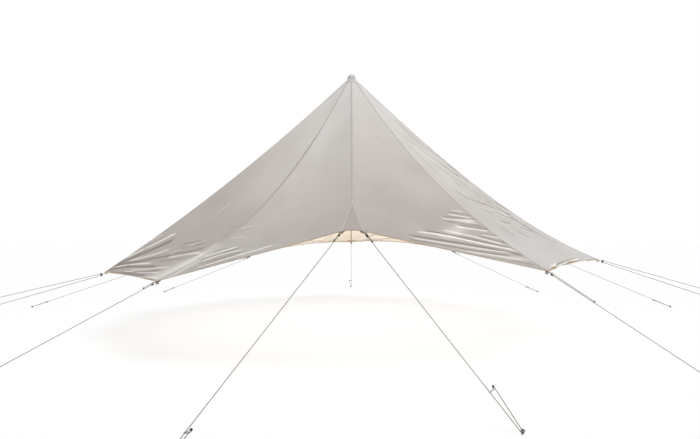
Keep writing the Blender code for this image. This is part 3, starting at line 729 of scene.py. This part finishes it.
def gussetPlace(across, share):
    # the darker wedge between the two halves of the front seam
    across, share = np.broadcast_arrays(np.asarray(across, float), np.asarray(share, float))
    grown = (share - split) / (1.0 - split)
    down = share - grown * canopy["gussetRise"] * 4.0 * across * (1.0 - across)
    left, right = seamPlace("door_left", down), seamPlace("door_right", down)
    return left + (right - left) * across[..., None], np.zeros_like(down), down


denseFrom = 0.56              # the folds begin about here, so the rows are closer from here on
fineRows = np.concatenate([np.linspace(0.0, denseFrom, 24, endpoint=False),
                           np.linspace(denseFrom, split, 40, endpoint=False), np.linspace(split, 1.0, 97)])
plainRows = np.linspace(0.0, 1.0, 101)


def crowded(share, crowding):
    # closer columns at the start of the share, or at its end where the crowding is negative
    return share ** crowding if crowding > 0 else 1.0 - (1.0 - share) ** -crowding


def sheetGrid(name, columns, crowding, shares, place, tone, materialIndex):
    # a grid of cloth from Blender's own grid, moved to its place row by row
    bpy.ops.mesh.primitive_grid_add(x_subdivisions=columns, y_subdivisions=len(shares) - 1, size=1.0)
    piece = bpy.context.active_object
    piece.name = name
    mesh = piece.data
    flat = np.empty(len(mesh.vertices) * 3)
    mesh.vertices.foreach_get("co", flat)
    column, row, _ = np.rint((flat.reshape(-1, 3) + 0.5) * (columns, len(shares) - 1, 0)).astype(int).T
    across, share = crowded(column / columns, crowding), shares[row]
    points, foldShading, down = place(across, share)
    mesh.vertices.foreach_set("co", points.ravel())
    while mesh.uv_layers:
        mesh.uv_layers.remove(mesh.uv_layers[0])
    index = np.empty(len(mesh.loops), dtype=np.int32)
    mesh.loops.foreach_get("vertex_index", index)
    for label, domain, values in (("foldShading", "POINT", foldShading),
                                  ("hemGap", "POINT", (1.0 - share) * canopy["slant"]),
                                  ("tone", "CORNER", np.interp(down, toneStops, tone)[index])):
        mesh.attributes.new(label, "FLOAT", domain).data.foreach_set("value", values.astype(np.float32))
    plan = np.stack(cutPlace(across, down), axis=-1)
    mesh.uv_layers.new(name="canvasPlan").data.foreach_set("uv", plan[index].astype(np.float32).ravel())
    for kind in ("outer", "gusset", "inner", "inner"):
        mesh.materials.append(finishes[kind])
    mesh.polygons.foreach_set("material_index", [materialIndex] * len(mesh.polygons))
    mesh.update()
    return piece


# Each piece of cloth: its panels, and the rectangle that they are cut from, laid head to tail
cloths = {
    "canopyFront": (("front_left", "front_right"), (2.60, 3.48)),
    "canopySides": (("side_left", "side_right"), (2.60, 3.48)),
    "canopyRear": (behind, (6.10, 3.48)),
}


def makeCloth(name):
    labels, flat = cloths[name]
    rows = plainRows if labels == behind else fineRows
    pieces = [sheetGrid("cloth_" + label, *panels[label][2:4], rows, partial(panelPlace, label),
                        tones.get(label, tones["behind"]), 0) for label in labels]
    nodes = ["panel_" + label for label in labels]
    if name == "canopyFront":
        pieces.append(sheetGrid("cloth_gusset", 10, 1.0, rows[rows > split - 0.001], gussetPlace,
                                tones["gusset"], 1))
        nodes.append("door_gusset")
    cloth = mended(joined(pieces, name), canopy["merge"])
    if sum(face.normal.z * face.area for face in cloth.data.polygons) < 0:
        cloth.data.flip_normals()
    wall = cloth.modifiers.new("wall", "SOLIDIFY")
    wall.thickness, wall.offset = canopy["thickness"], 1.0
    wall.material_offset = 2                 # the inner face takes the inner finish
    applyModifiers(cloth)
    bpy.ops.object.shade_smooth()
    area = len(labels) * cutWidth(0.5) * canopy["slant"]
    return ridesOn(cloth, "fly_sheet", "canvas", *nodes)


def skinned(name, rings, aroundPlan, alongPlan, planName, material):
    # a closed skin over rings of points; the plan goes round each ring and along the whole
    rings = np.asarray(rings, float)
    count, sides = rings.shape[:2]
    faces, plans = [], []
    for i in range(count - 1):
        for k in range(sides):
            n = (k + 1) % sides
            faces.append((i * sides + k, i * sides + n, (i + 1) * sides + n, (i + 1) * sides + k))
            plans += [(aroundPlan[k], alongPlan[i]), (aroundPlan[k + 1], alongPlan[i]),
                      (aroundPlan[k + 1], alongPlan[i + 1]), (aroundPlan[k], alongPlan[i + 1])]
    for ring, order in ((0, range(sides - 1, -1, -1)), (count - 1, range(sides))):
        faces.append(tuple(ring * sides + k for k in order))
        plans += [(aroundPlan[k], alongPlan[ring]) for k in order]
    mesh = bpy.data.meshes.new(name)
    mesh.from_pydata(rings.reshape(-1, 3).tolist(), [], faces)
    layer = mesh.uv_layers.new(name=planName)
    layer.data.foreach_set("uv", np.array(plans, dtype=np.float32).ravel())
    mesh.materials.append(finishes[material])
    return linked(name, mesh)


seamSizes = {
    "half": 0.0075, "doorHalf": 0.006, "edge": 0.0009, "top": 0.0021, "shoulder": 0.0017, "bevel": 0.0010,
    "tapeHalf": 0.010, "tapeNear": -0.0002, "tapeFar": -0.0016, "tapeStart": 0.02, "tapeStop": 0.984,
    "start": 0.0135, "stop": 0.999, "steps": 150,
    "frontStop": split + 0.035, "doorStart": split + 0.03,     # the middle seam of the front ends at its split
}


def seamLine(corner, share):
    if corner == "front":
        return (seamPlace("door_left", share) + seamPlace("door_right", share)) / 2
    return seamPlace(corner, share)


def besideSeam(corner, share, distance):
    # a point of the cloth at a distance from a seam, before it (-) or after it (+)
    before = distance < 0
    edge, way = (1.0, -1.0) if before else (0.0, 1.0)
    if corner == "front":
        label = "front_left" if before else "front_right"
    else:
        label = next((label for label, row in panels.items() if row[1 if before else 0] == corner), None)
    if label is None:                        # the gusset lies there
        spread = np.clip(canopy["doorWidth"] * (share - split) / (1 - split), 0.001, None)
        return gussetPlace(edge + way * np.clip(abs(distance) / spread, 0, 0.5), share)[0]
    width = np.linalg.norm(seamPlace("side_left", share) - seamPlace("front_left", share), axis=-1)
    return panelPlace(label, edge + distance / width, share, False)[0]


def seamStrip(name, corner, share, half, near, far, shoulder, finish):
    # a flat felled strip along a seam; near and far are its heights over the cloth's underside
    middle = seamLine(corner, share)
    inner = half - seamSizes["bevel"]
    left, inLeft, inRight, right = (besideSeam(corner, share, gap) for gap in (-half, -inner, inner, half))
    normal = unit(np.cross(right - left, unit(np.gradient(middle, axis=0))))
    normal *= np.sign(normal[:, 2:3])
    rings = np.stack([left + normal * near, inLeft + normal * shoulder, middle + normal * far,
                      inRight + normal * shoulder, right + normal * near, middle + normal * near], axis=1)
    return skinned(name, rings, [-half, -inner, 0, inner, half, 0, -half], lengths(middle), "tapePlan", finish)


def makeSeams():
    s = seamSizes
    seam = (s["edge"], s["top"], s["shoulder"], "seam")
    tape = (s["tapeNear"], s["tapeFar"], s["tapeFar"], "tan")
    outside, inside = [], []
    for corner in (*corners, "front"):
        door, front = corner.startswith("door"), corner == "front"
        start, stop = s["doorStart" if door else "start"], s["frontStop" if front else "stop"]
        share = np.linspace(start, stop, s["steps"])
        outside.append(seamStrip("seam_" + corner, corner, share, s["doorHalf" if door else "half"], *seam))
        if not door:
            if not front:
                share = np.linspace(s["tapeStart"], s["tapeStop"], s["steps"])
            inside.append(seamStrip("tape_" + corner, corner, share, s["tapeHalf"], *tape))
    ridesOn(smoothed(mended(joined(outside, "canopySeams"))), "fly_sheet", "canvas")
    ridesOn(smoothed(mended(joined(inside, "canopyInnerTapes"))), "fly_sheet", "webbing")


binding = {
    "outerLeg": 0.0095, "innerLeg": 0.020, "cornerLeg": 0.075, "cornerReach": 0.085,  # share of the hem
    "wall": 0.0013, "steps": 150, "gussetSteps": 24, "insideGap": 0.0002, "outsideGap": 0.0009,
    "ends": (0.0015, 0.9985), "above": 0.9925,             # shares of the hem and of the seams
}


def hemStrip(name, place, steps):
    # tape folded over the hem; its inner leg widens into a patch at both corners
    b = binding
    across = np.linspace(*b["ends"], steps)
    edge, above = (place(across, np.full(steps, share))[0] for share in (1.0, b["above"]))
    rise = unit(above - edge)
    normal = unit(np.cross(unit(np.gradient(edge, axis=0)), rise))
    normal *= np.sign(normal[:, 2:3])
    nearCorner = np.minimum(across, 1.0 - across)
    inner = b["innerLeg"] + (b["cornerLeg"] - b["innerLeg"]) * (1 - smooth(0.01, b["cornerReach"], nearCorner))
    out, low, wall, leg = b["outsideGap"], -b["insideGap"], b["wall"], b["outerLeg"]
    section = [(inner, low), (inner, low - wall), (0.001, low - wall), (-0.0022, low - wall * 0.5),
               (-0.0030, 0.0004), (-0.0022, out + wall * 0.5), (0.001, out + wall),
               (leg, out + wall), (leg, out), (0.0, out), (-0.0010, 0.0004), (0.0, low)]
    rings = np.stack([edge + rise * np.broadcast_to(p, steps)[:, None] + normal * q
                      for p, q in section], axis=1)
    aroundPlan = [0.020, 0.020, 0.002, 0.001, 0.0, 0.001, 0.002, leg, leg, 0.002, 0.001, 0.0, 0.020]
    return skinned(name, rings, aroundPlan, lengths(edge), "tapePlan", "binding")


def makeBinding():
    strips = [hemStrip("hem_" + label, partial(panelPlace, label), binding["steps"]) for label in panels]
    strips.append(hemStrip("hem_gusset", gussetPlace, binding["gussetSteps"]))
    ridesOn(smoothed(mended(joined(strips, "canopyHem"))), "fly_sheet", "webbing")


for name in cloths:
    print(name, len(makeCloth(name).data.polygons), "faces")
makeSeams()
makeBinding()
print("canopy sewn")


# What the solids say about each fitting: its middle and its own axes
def meshPoints(node):
    return np.unique(np.round([v.co[:] for v in frame["nodes"][node].data.vertices], 6), axis=0)


def mainAxes(points):
    return np.linalg.svd(points - points.mean(axis=0), full_matrices=False)[2]


def middleAlong(points, axis):
    return axis * ((points @ axis).min() + (points @ axis).max()) / 2


def readTab(corner):
    points = meshPoints("corner_tab_" + corner)
    outward, side, normal = mainAxes(points)
    middle = points.mean(axis=0)
    if outward[:2] @ middle[:2] < 0:
        outward = -outward
    if normal[2] < 0:
        normal = -normal
    side = np.cross(normal, outward)
    eye = outward * ((points @ outward).max() - fitting["eyeToEdge"])
    eye = eye + middleAlong(points, side) + middleAlong(points, normal)
    return Vector(eye), Vector(outward), Vector(normal)


def readPeg(label):
    points = meshPoints("peg_" + label)
    axis = mainAxes(points)[0]
    axis = axis if axis[2] > 0 else -axis
    middle = points.mean(axis=0)
    middle = middle - axis * (middle @ axis)
    return Vector(middle + axis * ((points @ axis).max() - fitting["ropeToHead"])), Vector(axis)


def readRunner(label):
    points = meshPoints("runner_" + label)
    line = np.array(next(joint["axis"] for joint in frame["joints"]
                         if joint["child"] == "runner_" + label), float)
    bar = mainAxes(points - np.outer(points @ line, line))[0]
    middle = sum(middleAlong(points, axis) for axis in (line, bar, np.cross(line, bar)))
    return Vector(middle), Vector(line), Vector(bar)


fitting = {
    "tabThickness": 0.0022, "eyeRadius": 0.0065, "eyeToEdge": 0.014, "overlap": 0.055, "eyeOffset": 0.020,
    "bend": 0.008, "rope": 0.003, "clearance": 0.0008,
    "shaft": 0.0045, "pegClearance": 0.0003, "ropeToHead": 0.0165,
    "holeSpacing": 0.036, "runnerThickness": 0.006, "beforeRunner": 0.012,
    "runnerGap": 0.001, "knotFrom": 0.0035, "knotLength": 0.012, "pastKnot": 0.006,
    "tail": 0.10, "longTail": 0.42, "tailSpacing": 0.0095, "tailBend": 0.03, "tailBow": 0.002,
    "lap": 0.017, "blendPast": 0.12,     # a return rope's lap at the peg, and how far its blend goes past it
}


def pegsOf(corner):
    # a side rope is a V with two pegs
    return [corner + "_near", corner + "_far"] if corner.startswith("side") else [corner]


pegLabels = [label for corner in corners for label in pegsOf(corner)]

ropeSizes = {
    "radius": 0.0032, "lobes": 3, "lobeDepth": 0.12, "pitch": 0.024, "sides": 12, "spacing": 0.0042,
    "knotRadius": 0.0054, "knotPitch": 0.0052, "knotTurns": 3.0, "longKnotTurns": 6.0, "knotStart": 0.002,
    "knotSides": 14, "tuck": 0.62,                         # points in a turn, and the ends' share of its radius
    "ball": 0.0050, "ballPitch": 0.0048, "ballTurns": 2.2,
    "over": 1.05, "overPitch": 0.0090, "overTurns": 1.1, "overFrom": 0.0012,
    "whipRadius": 0.0030, "whipPitch": 0.0022, "whipLength": 0.010,
}


def ropeSkin(name, points, finish):
    # three strands laid round each other, swept along a line
    r = ropeSizes
    tangent = unit(np.gradient(points, axis=0))
    first = np.cross(tangent[0], [0.0, 0.0, 1.0])
    if np.linalg.norm(first) < 0.1:
        first = np.cross(tangent[0], [1.0, 0.0, 0.0])
    frames = [unit(first)]
    for way in tangent[1:]:
        frames.append(unit(frames[-1] - way * (frames[-1] @ way)))
    first = np.array(frames)
    second = np.cross(tangent, first)
    length = lengths(points)
    turn = np.arange(r["sides"]) / r["sides"] * 2 * math.pi
    size = r["radius"] * (1 - r["lobeDepth"] + r["lobeDepth"] * np.cos(r["lobes"] * turn))
    angle = turn[None, :] + (length / r["pitch"] * 2 * math.pi)[:, None]
    rings = points[:, None, :] + size[None, :, None] * (np.cos(angle)[..., None] * first[:, None, :]
                                                        + np.sin(angle)[..., None] * second[:, None, :])
    around = np.arange(r["sides"] + 1) / r["sides"]
    return smoothed(skinned(name, rings, around, length, "ropePlan", finish), 60)


def coil(name, start, way, turns, radius=ropeSizes["knotRadius"], pitch=ropeSizes["knotPitch"]):
    # turns of rope wound round a straight line, the ends tucked in
    sides, tuck = ropeSizes["knotSides"], ropeSizes["tuck"]
    way = np.array(way) / np.linalg.norm(way)
    first = unit(np.cross(way, [0.3, 0.2, 1.0]))
    second = np.cross(way, first)
    turn = np.linspace(0.0, turns * 2 * math.pi, int(turns * sides))
    ends = np.minimum(turn, turn[::-1]) / (0.6 * math.pi)
    reach = radius * (tuck + (1 - tuck) * np.clip(ends, 0, 1) ** 0.5)
    points = (np.array(start) + way * (turn / (2 * math.pi) * pitch)[:, None]
              + reach[:, None] * (np.cos(turn)[:, None] * first + np.sin(turn)[:, None] * second))
    return ropeSkin(name, points, "darkCoil")


def ballKnot(name, start, way):
    # a stopper knot: a short fat double coil
    r = ropeSizes
    return [coil(name, start, way, r["ballTurns"], r["ball"], r["ballPitch"]),
            coil(name + "_over", np.array(start) + np.array(way) * r["overFrom"], way, r["overTurns"],
                 r["ball"] * r["over"], r["overPitch"])]


def makeReturn(label, far, hole, line):
    # the strand from the peg through the runner's second hole, with its stopper knot
    f = fitting
    back = hole - far
    stop = f["runnerThickness"] / 2 + f["runnerGap"]
    path = [far, hole - line * f["beforeRunner"], hole + line * stop,
            hole + line * (stop + f["knotLength"] + f["pastKnot"])]
    rope = ropeSkin("guy_return_" + label, rounded(dense(path, ropeSizes["spacing"]), 3), "khaki")
    "runner_" + label
    tuple(far - back * f["blendPast"])
    tuple(hole + back * f["blendPast"])
    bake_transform(rope)
    pieces = ballKnot("stopper_" + label, hole + line * (stop + f["knotFrom"]), line)
    ridesOn(smoothed(mended(joined(pieces, "stopper_knot_" + label))), "runner_" + label, "rope")


def makeStrand(label, start):
    # the points of a rope from a bend down to its peg, round it, and a little way back
    f = fitting
    place, axis = readPeg(label)
    upRope = (start - place).normalized()
    side = up.cross(upRope).normalized()
    loop = (f["shaft"] + f["rope"] + f["pegClearance"]) / upRope.cross(axis).length
    around = [place + side * loop * math.cos(t) - upRope * loop * math.sin(t)
              for t in np.radians(np.arange(0, 181, 15))]
    middle, line, bar = readRunner(label)
    if bar.dot(side) > 0:
        bar = -bar
    hole, far = middle + bar * (f["holeSpacing"] / 2), place - side * loop
    makeReturn(label, far, hole, line)
    return [start, *around, far + (hole - far).normalized() * f["lap"]]


def makeGuy(corner):
    f, r = fitting, ropeSizes
    eye, outward, normal = readTab(corner)
    ends = pegsOf(corner)
    goal = sum((readPeg(label)[0] for label in ends), Vector()) / len(ends)
    pull = (goal - eye).normalized()
    across = (normal - pull * normal.dot(pull)).normalized()
    inside = (f["bend"] - f["rope"]) * math.cos(math.pi / 12) - f["clearance"]
    centre = eye + outward * (f["eyeRadius"] + math.sqrt(inside ** 2 - (f["tabThickness"] / 2) ** 2))
    bend = [centre + across * f["bend"] * math.sin(t) - pull * f["bend"] * math.cos(t)
            for t in np.radians(np.arange(-90, 91, 15))]
    strands = [makeStrand(label, start) for label, start in zip(ends, (bend[0], bend[-1]))]
    ways = [(strand[1] - strand[0]).normalized() for strand in strands]
    points = strands[0][:0:-1] + bend
    if len(ends) == 2:
        points += strands[1][1:]
        pieces = [coil(f"knot_{corner}_{number}", strand[0] + way * r["knotStart"], way, r["knotTurns"])
                  for number, (strand, way) in enumerate(zip(strands, ways))]
    else:
        line, low = ways[0], bend[0]
        tail = f["longTail"] if corner == "front_right" else f["tail"]
        tailEnd = low + line * tail + across * f["tailSpacing"]
        points += [low + line * min(f["tailBend"], tail / 2) + across * (f["tailSpacing"] + f["tailBow"]),
                   tailEnd]
        turns = r["longKnotTurns"] if corner == "door_right" else r["knotTurns"]
        pieces = [coil("knot_" + corner, low + line * r["knotStart"], line, turns),
                  coil("whip_" + corner, tailEnd - line * r["whipLength"], line, r["knotTurns"],
                       r["whipRadius"], r["whipPitch"])]
    rope = ropeSkin("guy_line_" + corner, dense(points, r["spacing"]), "khaki")
    ridesOn(rope, "fly_sheet", "rope", "guy_rope_" + corner)
    ridesOn(smoothed(mended(joined(pieces, "knots_" + corner))), "fly_sheet", "rope")
    return eye, outward, normal


strapSizes = {
    "width": 0.024, "wall": 0.0018, "gap": 0.0026, "ringMajor": 0.0098, "ringMinor": 0.0026, "ringLong": 1.15,
    "behindRing": 0.0055, "turn": 0.0052, "arc": 0.35, "lift": 0.0028, "rounding": 0.94, "ringShift": 0.001,
    "sewnFrom": 0.002, "lowerFrom": 0.012,
}


def makeStrap(corner, eye, outward, normal):
    # webbing folded through the ring, both ends sewn under the corner of the cloth
    s = strapSizes
    side = np.array(normal.cross(outward))
    tip, out, rise = np.array(eye), np.array(outward), np.array(normal)
    start = -(fitting["overlap"] + fitting["eyeOffset"]) + s["sewnFrom"]
    turn = -s["ringMajor"] - s["behindRing"]
    line = [(x, s["gap"]) for x in np.linspace(start, turn, 22)]
    line += [(turn + s["turn"] * math.sin(t), s["gap"] * math.cos(t))
             for t in np.linspace(s["arc"], math.pi - s["arc"], 8)]
    line += [(x, -s["gap"]) for x in np.linspace(turn, start + s["lowerFrom"], 20)]
    half, wall, rings = s["width"] / 2, s["wall"] / 2, []
    for (x, z), (alongX, alongZ) in zip(line, unit(np.gradient(np.array(line), axis=0))):
        middle = tip + out * x + rise * (z - s["lift"])
        toSide, toWall = side * half, (rise * alongX - out * alongZ) * wall
        inner = toSide * s["rounding"]
        rings.append([middle - inner + toWall, middle + inner + toWall, middle + toSide,
                      middle + inner - toWall, middle - inner - toWall, middle - toSide])
    plan = [-half, half, half, half, -half, -half, -half]
    strap = skinned("strap_" + corner, rings, plan, lengths(np.array(line)), "tapePlan", "tan")
    ridesOn(smoothed(mended(strap)), "fly_sheet", "webbing", "corner_tab_" + corner)
    bpy.ops.mesh.primitive_torus_add(major_radius=s["ringMajor"], minor_radius=s["ringMinor"],
                                     major_segments=40, minor_segments=14)
    ring = bpy.context.active_object
    ring.name = ring.data.name = "ring_" + corner
    ring.scale = (1.0, s["ringLong"], 1.0)
    applyPlace(ring)
    middle = eye + outward * s["ringShift"] - normal * s["lift"]
    ring.data.transform(axesMatrix(middle, outward, Vector(side), normal))
    ring.data.materials.append(finishes["ring"])
    bpy.ops.object.shade_smooth()
    ridesOn(ring, "fly_sheet", "webbing")


toggleSizes = {"above": 0.012, "gap": 0.0155, "radius": 0.0105, "pitch": 0.0058, "turns": 2.4}


def makeToggles():
    # a knotted loop inside each roped corner, for hanging the walls
    t = toggleSizes
    share = 1.0 - t["above"] / canopy["slant"]
    pieces = []
    for corner in corners:
        if corner.startswith("door"):
            continue
        place = seamPlace(corner, share)
        way = unit(seamPlace(corner, share - 0.02) - place)
        side = unit(np.cross(way, (0.0, 0.0, 1.0)))
        normal = np.cross(side, way)
        start = place - normal * math.copysign(t["gap"], normal[2]) - side * t["pitch"] * t["turns"] / 2
        pieces.append(coil("toggle_" + corner, start, side, t["turns"], t["radius"], t["pitch"]))
    ridesOn(smoothed(mended(joined(pieces, "canopyToggles"))), "fly_sheet", "webbing")


for corner in corners:
    makeStrap(corner, *makeGuy(corner))
makeToggles()
print("ropes, straps and rings laid")


runnerSizes = {
    "length": 0.050, "width": 0.014, "hole": 0.00335, "endRound": 0.46,     # of the width
    "edge": (0.0012, 3, 50), "rim": (0.0005, 2, 60),                        # width, steps, angle
}


def bevelled(thing, width, steps, degrees):
    edge = thing.modifiers.new("edge", "BEVEL")
    edge.width, edge.segments, edge.limit_method = width, steps, "ANGLE"
    edge.angle_limit = math.radians(degrees)
    applyModifiers(thing)


def bored(thing, x, radius, depth):
    bpy.ops.mesh.primitive_cylinder_add(vertices=24, radius=radius, depth=depth, location=(x, 0.0, 0.0))
    drill = bpy.context.active_object
    cut = thing.modifiers.new("bore", "BOOLEAN")
    cut.operation, cut.solver, cut.object = "DIFFERENCE", "EXACT", drill
    applyModifiers(thing)
    bpy.data.objects.remove(drill)


def makeRunners():
    s, thickness, reach = runnerSizes, fitting["runnerThickness"], fitting["holeSpacing"] / 2
    deselectAll()
    bpy.ops.mesh.primitive_cube_add(size=1.0)
    model = bpy.context.active_object
    model.scale = (s["length"], s["width"], thickness)
    applyPlace(model)
    ends = model.modifiers.new("ends", "BEVEL")
    ends.affect, ends.limit_method = "EDGES", "WEIGHT"
    ends.width, ends.segments = s["width"] * s["endRound"], 8
    upright = model.data.attributes.new("bevel_weight_edge", "FLOAT", "EDGE")
    for edge in model.data.edges:
        a, b = (model.data.vertices[i].co for i in edge.vertices)
        upright.data[edge.index].value = 1.0 if abs(a.z - b.z) > thickness / 2 else 0.0
    applyModifiers(model)
    bevelled(model, *s["edge"])
    for x in (-reach, reach):
        bored(model, x, s["hole"], thickness * 3)
    bevelled(model, *s["rim"])
    smoothed(model, 35)
    model.data.materials.clear()
    model.data.materials.append(finishes["runner"])
    for label in pegLabels:
        middle, line, bar = readRunner(label)
        piece = placedCopy(model, "runner_bar_" + label, axesMatrix(middle, bar, line.cross(bar), line))
        ridesOn(piece, "runner_" + label, "runner", "runner_" + label)
    bpy.data.objects.remove(model)


def spun(name, profile, steps, finish):
    # a profile of (radius, height) turned round the upright axis
    mesh = bpy.data.meshes.new(name)
    mesh.from_pydata([(r, 0.0, z) for r, z in profile], [(i, i + 1) for i in range(len(profile) - 1)], [])
    mesh.materials.append(finishes[finish])
    piece = linked(name, mesh)
    only(piece)
    bpy.ops.object.mode_set(mode="EDIT")
    bpy.ops.mesh.select_all(action="SELECT")
    bpy.ops.mesh.spin(steps=steps, angle=2 * math.pi, center=(0, 0, 0), axis=(0, 0, 1))
    bpy.ops.object.mode_set(mode="OBJECT")
    return smoothed(mended(piece, 0.00001), 38)


pegSizes = {"below": 0.180, "tip": 0.022, "head": 0.012, "headThickness": 0.009, "toHead": 0.0075}


def makePegs():
    s, shaft, head, end = pegSizes, fitting["shaft"], pegSizes["head"], -pegSizes["below"]
    low, high = s["toHead"], s["toHead"] + s["headThickness"]
    profile = [(0.0, end), (0.0008, end + 0.001), (shaft, end + s["tip"]), (shaft, -0.030),
               (shaft, low - 0.0008), (shaft + 0.0010, low), (head - 0.0020, low),
               (head - 0.0006, low + 0.0006), (head, low + 0.0020), (head, high - 0.0028),
               (head - 0.0008, high - 0.0010), (head - 0.0026, high - 0.0002), (head * 0.45, high), (0.0, high)]
    model = spun("pegModel", profile, 28, "peg")
    for label in pegLabels:
        place, axis = readPeg(label)
        side = axis.cross(up).normalized()
        piece = placedCopy(model, "peg_steel_" + label, axesMatrix(place, side, axis.cross(side), axis))
        ridesOn(piece, "fly_sheet", "peg", "peg_" + label)
    bpy.data.objects.remove(model)


capSizes = {
    "radius": 0.048, "domeTop": 0.074, "domeStart": 0.028, "domeShare": 0.985, "cord": 1.012,    # of the radius
    "skirt": 0.085, "pitch": 0.94, "boss": 0.045, "bossDrop": 0.014, "socket": 0.007, "socketDepth": 0.060,
    "gather": 0.0006, "gathers": 14, "pucker": 0.0003, "puckers": 31, "gatherEnd": -0.038,
    "planRadius": 0.06, "values": {"hemGap": 1.0, "foldShading": 0.0, "tone": 0.6},
}


def capProfile():
    s = capSizes
    radius, skirt, boss, socket, floor = s["radius"], s["skirt"], s["boss"], s["socket"], -s["bossDrop"]
    shoulder, rise, cord = s["pitch"] * (skirt - radius), s["domeTop"] - s["domeStart"], radius * s["cord"]
    dome = [(radius * s["domeShare"] * math.cos(t), s["domeStart"] + rise * math.sin(t))
            for t in np.radians(np.linspace(0, 90, 14))]
    return [(0.0, s["domeTop"]), *dome[-2::-1],
            (radius, 0.024), (cord, 0.021), (cord, 0.014), (radius, 0.011), (radius, 0.0065),
            *((radius + (skirt - radius) * t, 0.0055 - shoulder * t * 1.01) for t in np.linspace(0.04, 1.0, 8)),
            (skirt - 0.0004, -shoulder - 0.0012), (skirt - 0.002, -shoulder - 0.0010),
            (radius + 0.002, -0.0006), (boss, -0.002), (boss, floor), (socket + 0.0008, floor),
            (socket, floor + 0.0008), (socket, floor + s["socketDepth"]), (0.0, floor + s["socketDepth"])]


def makeCap():
    # a stiff thimble covered with gathered canvas, its socket open below
    s = capSizes
    piece = spun("capCover", capProfile(), 72, "cover")
    mesh = piece.data
    for vertex in mesh.vertices:
        x, y, z = vertex.co
        reach = math.hypot(x, y)
        if reach > s["boss"] and z > s["gatherEnd"]:
            turn = math.atan2(y, x)
            gather = s["gather"] * math.sin(s["gathers"] * turn + 0.6) * smooth(0.05, 0.02, z)
            gather += s["pucker"] * math.sin(s["puckers"] * turn)
            vertex.co.x += x / reach * gather
            vertex.co.y += y / reach * gather
    layer = mesh.uv_layers.new(name="canvasPlan")
    for loop in mesh.loops:
        x, y, z = mesh.vertices[loop.vertex_index].co
        layer.data[loop.index].uv = (math.atan2(x, -y) * s["planRadius"], z - math.hypot(x, y))
    for label, value in s["values"].items():
        mesh.attributes.new(label, "FLOAT", "POINT").data.foreach_set("value", [value] * len(mesh.vertices))
    mesh.transform(Matrix.Translation((0.0, 0.0, canopy["peakHeight"] + ground)))
    ridesOn(piece, "fly_sheet", "cap", "peak_cap")


makeRunners()
makePegs()
makeCap()
print("runners, pegs and cap made")


light = {
    "sky": 0.50, "floorGlow": 0.78, "floorColour": (0.90, 0.90, 0.90, 1), "floorSize": 80.0,
    "suns": [((0.40, -0.30, 0.83), 1.88, 34.0), ((-0.40, -0.70, 0.55), 0.35, 60.0)],    # way, power, angle
    "under": 100.0, "underSize": 2.5, "underHeight": 0.25,
}


def seenRays(tree):
    # 1 for the rays that show a thing to the camera, also in a mirror or through glass
    rays = tree.nodes.new("ShaderNodeLightPath").outputs
    straight, mirrored, through = (Signal(tree, rays[label]) for label in
                                   ("Is Camera Ray", "Is Glossy Ray", "Is Transmission Ray"))
    return maths("MAXIMUM", maths("MAXIMUM", straight, mirrored), through)


def setLight():
    world = bpy.data.worlds.new("studio")
    bpy.context.scene.world = world
    world.use_nodes = True
    back = world.node_tree.nodes["Background"].inputs
    back["Color"].default_value = (1, 1, 1, 1)
    feed(seenRays(world.node_tree) * (1.0 - light["sky"]) + light["sky"], back["Strength"])
    for number, (way, strength, angle) in enumerate(light["suns"]):
        lamp = bpy.data.lights.new(f"sun_{number}", "SUN")
        lamp.energy, lamp.angle = strength, math.radians(angle)
        linked(f"sun_{number}", lamp).rotation_euler = Vector(way).to_track_quat("Z", "Y").to_euler()
    # a soft lamp on the floor below the canopy lights its lining
    lamp = bpy.data.lights.new("under", "AREA")
    lamp.shape, lamp.size, lamp.energy = "DISK", light["underSize"], light["under"]
    thing = linked("under", lamp)
    thing.location = (0.0, 0.0, ground + light["underHeight"])
    thing.rotation_euler = (math.pi, 0.0, 0.0)
    thing.visible_camera = False


def makeFloor():
    deselectAll()
    bpy.ops.mesh.primitive_plane_add(size=light["floorSize"], location=(0.0, 0.0, ground))
    floor = bpy.context.active_object
    floor.name = "studioFloor"
    material, tree, shader = newMaterial("floor", 1.0, Specular_IOR_Level=0.0,
                                         Base_Color=light["floorColour"])
    mixedShaders(seenRays(tree) * light["floorGlow"], shader, nodeOf(tree, "Emission", {}))
    floor.data.materials.append(material)


setLight()
makeFloor()
bpy.context.scene.view_settings.view_transform = "Standard"
print("light and floor set")
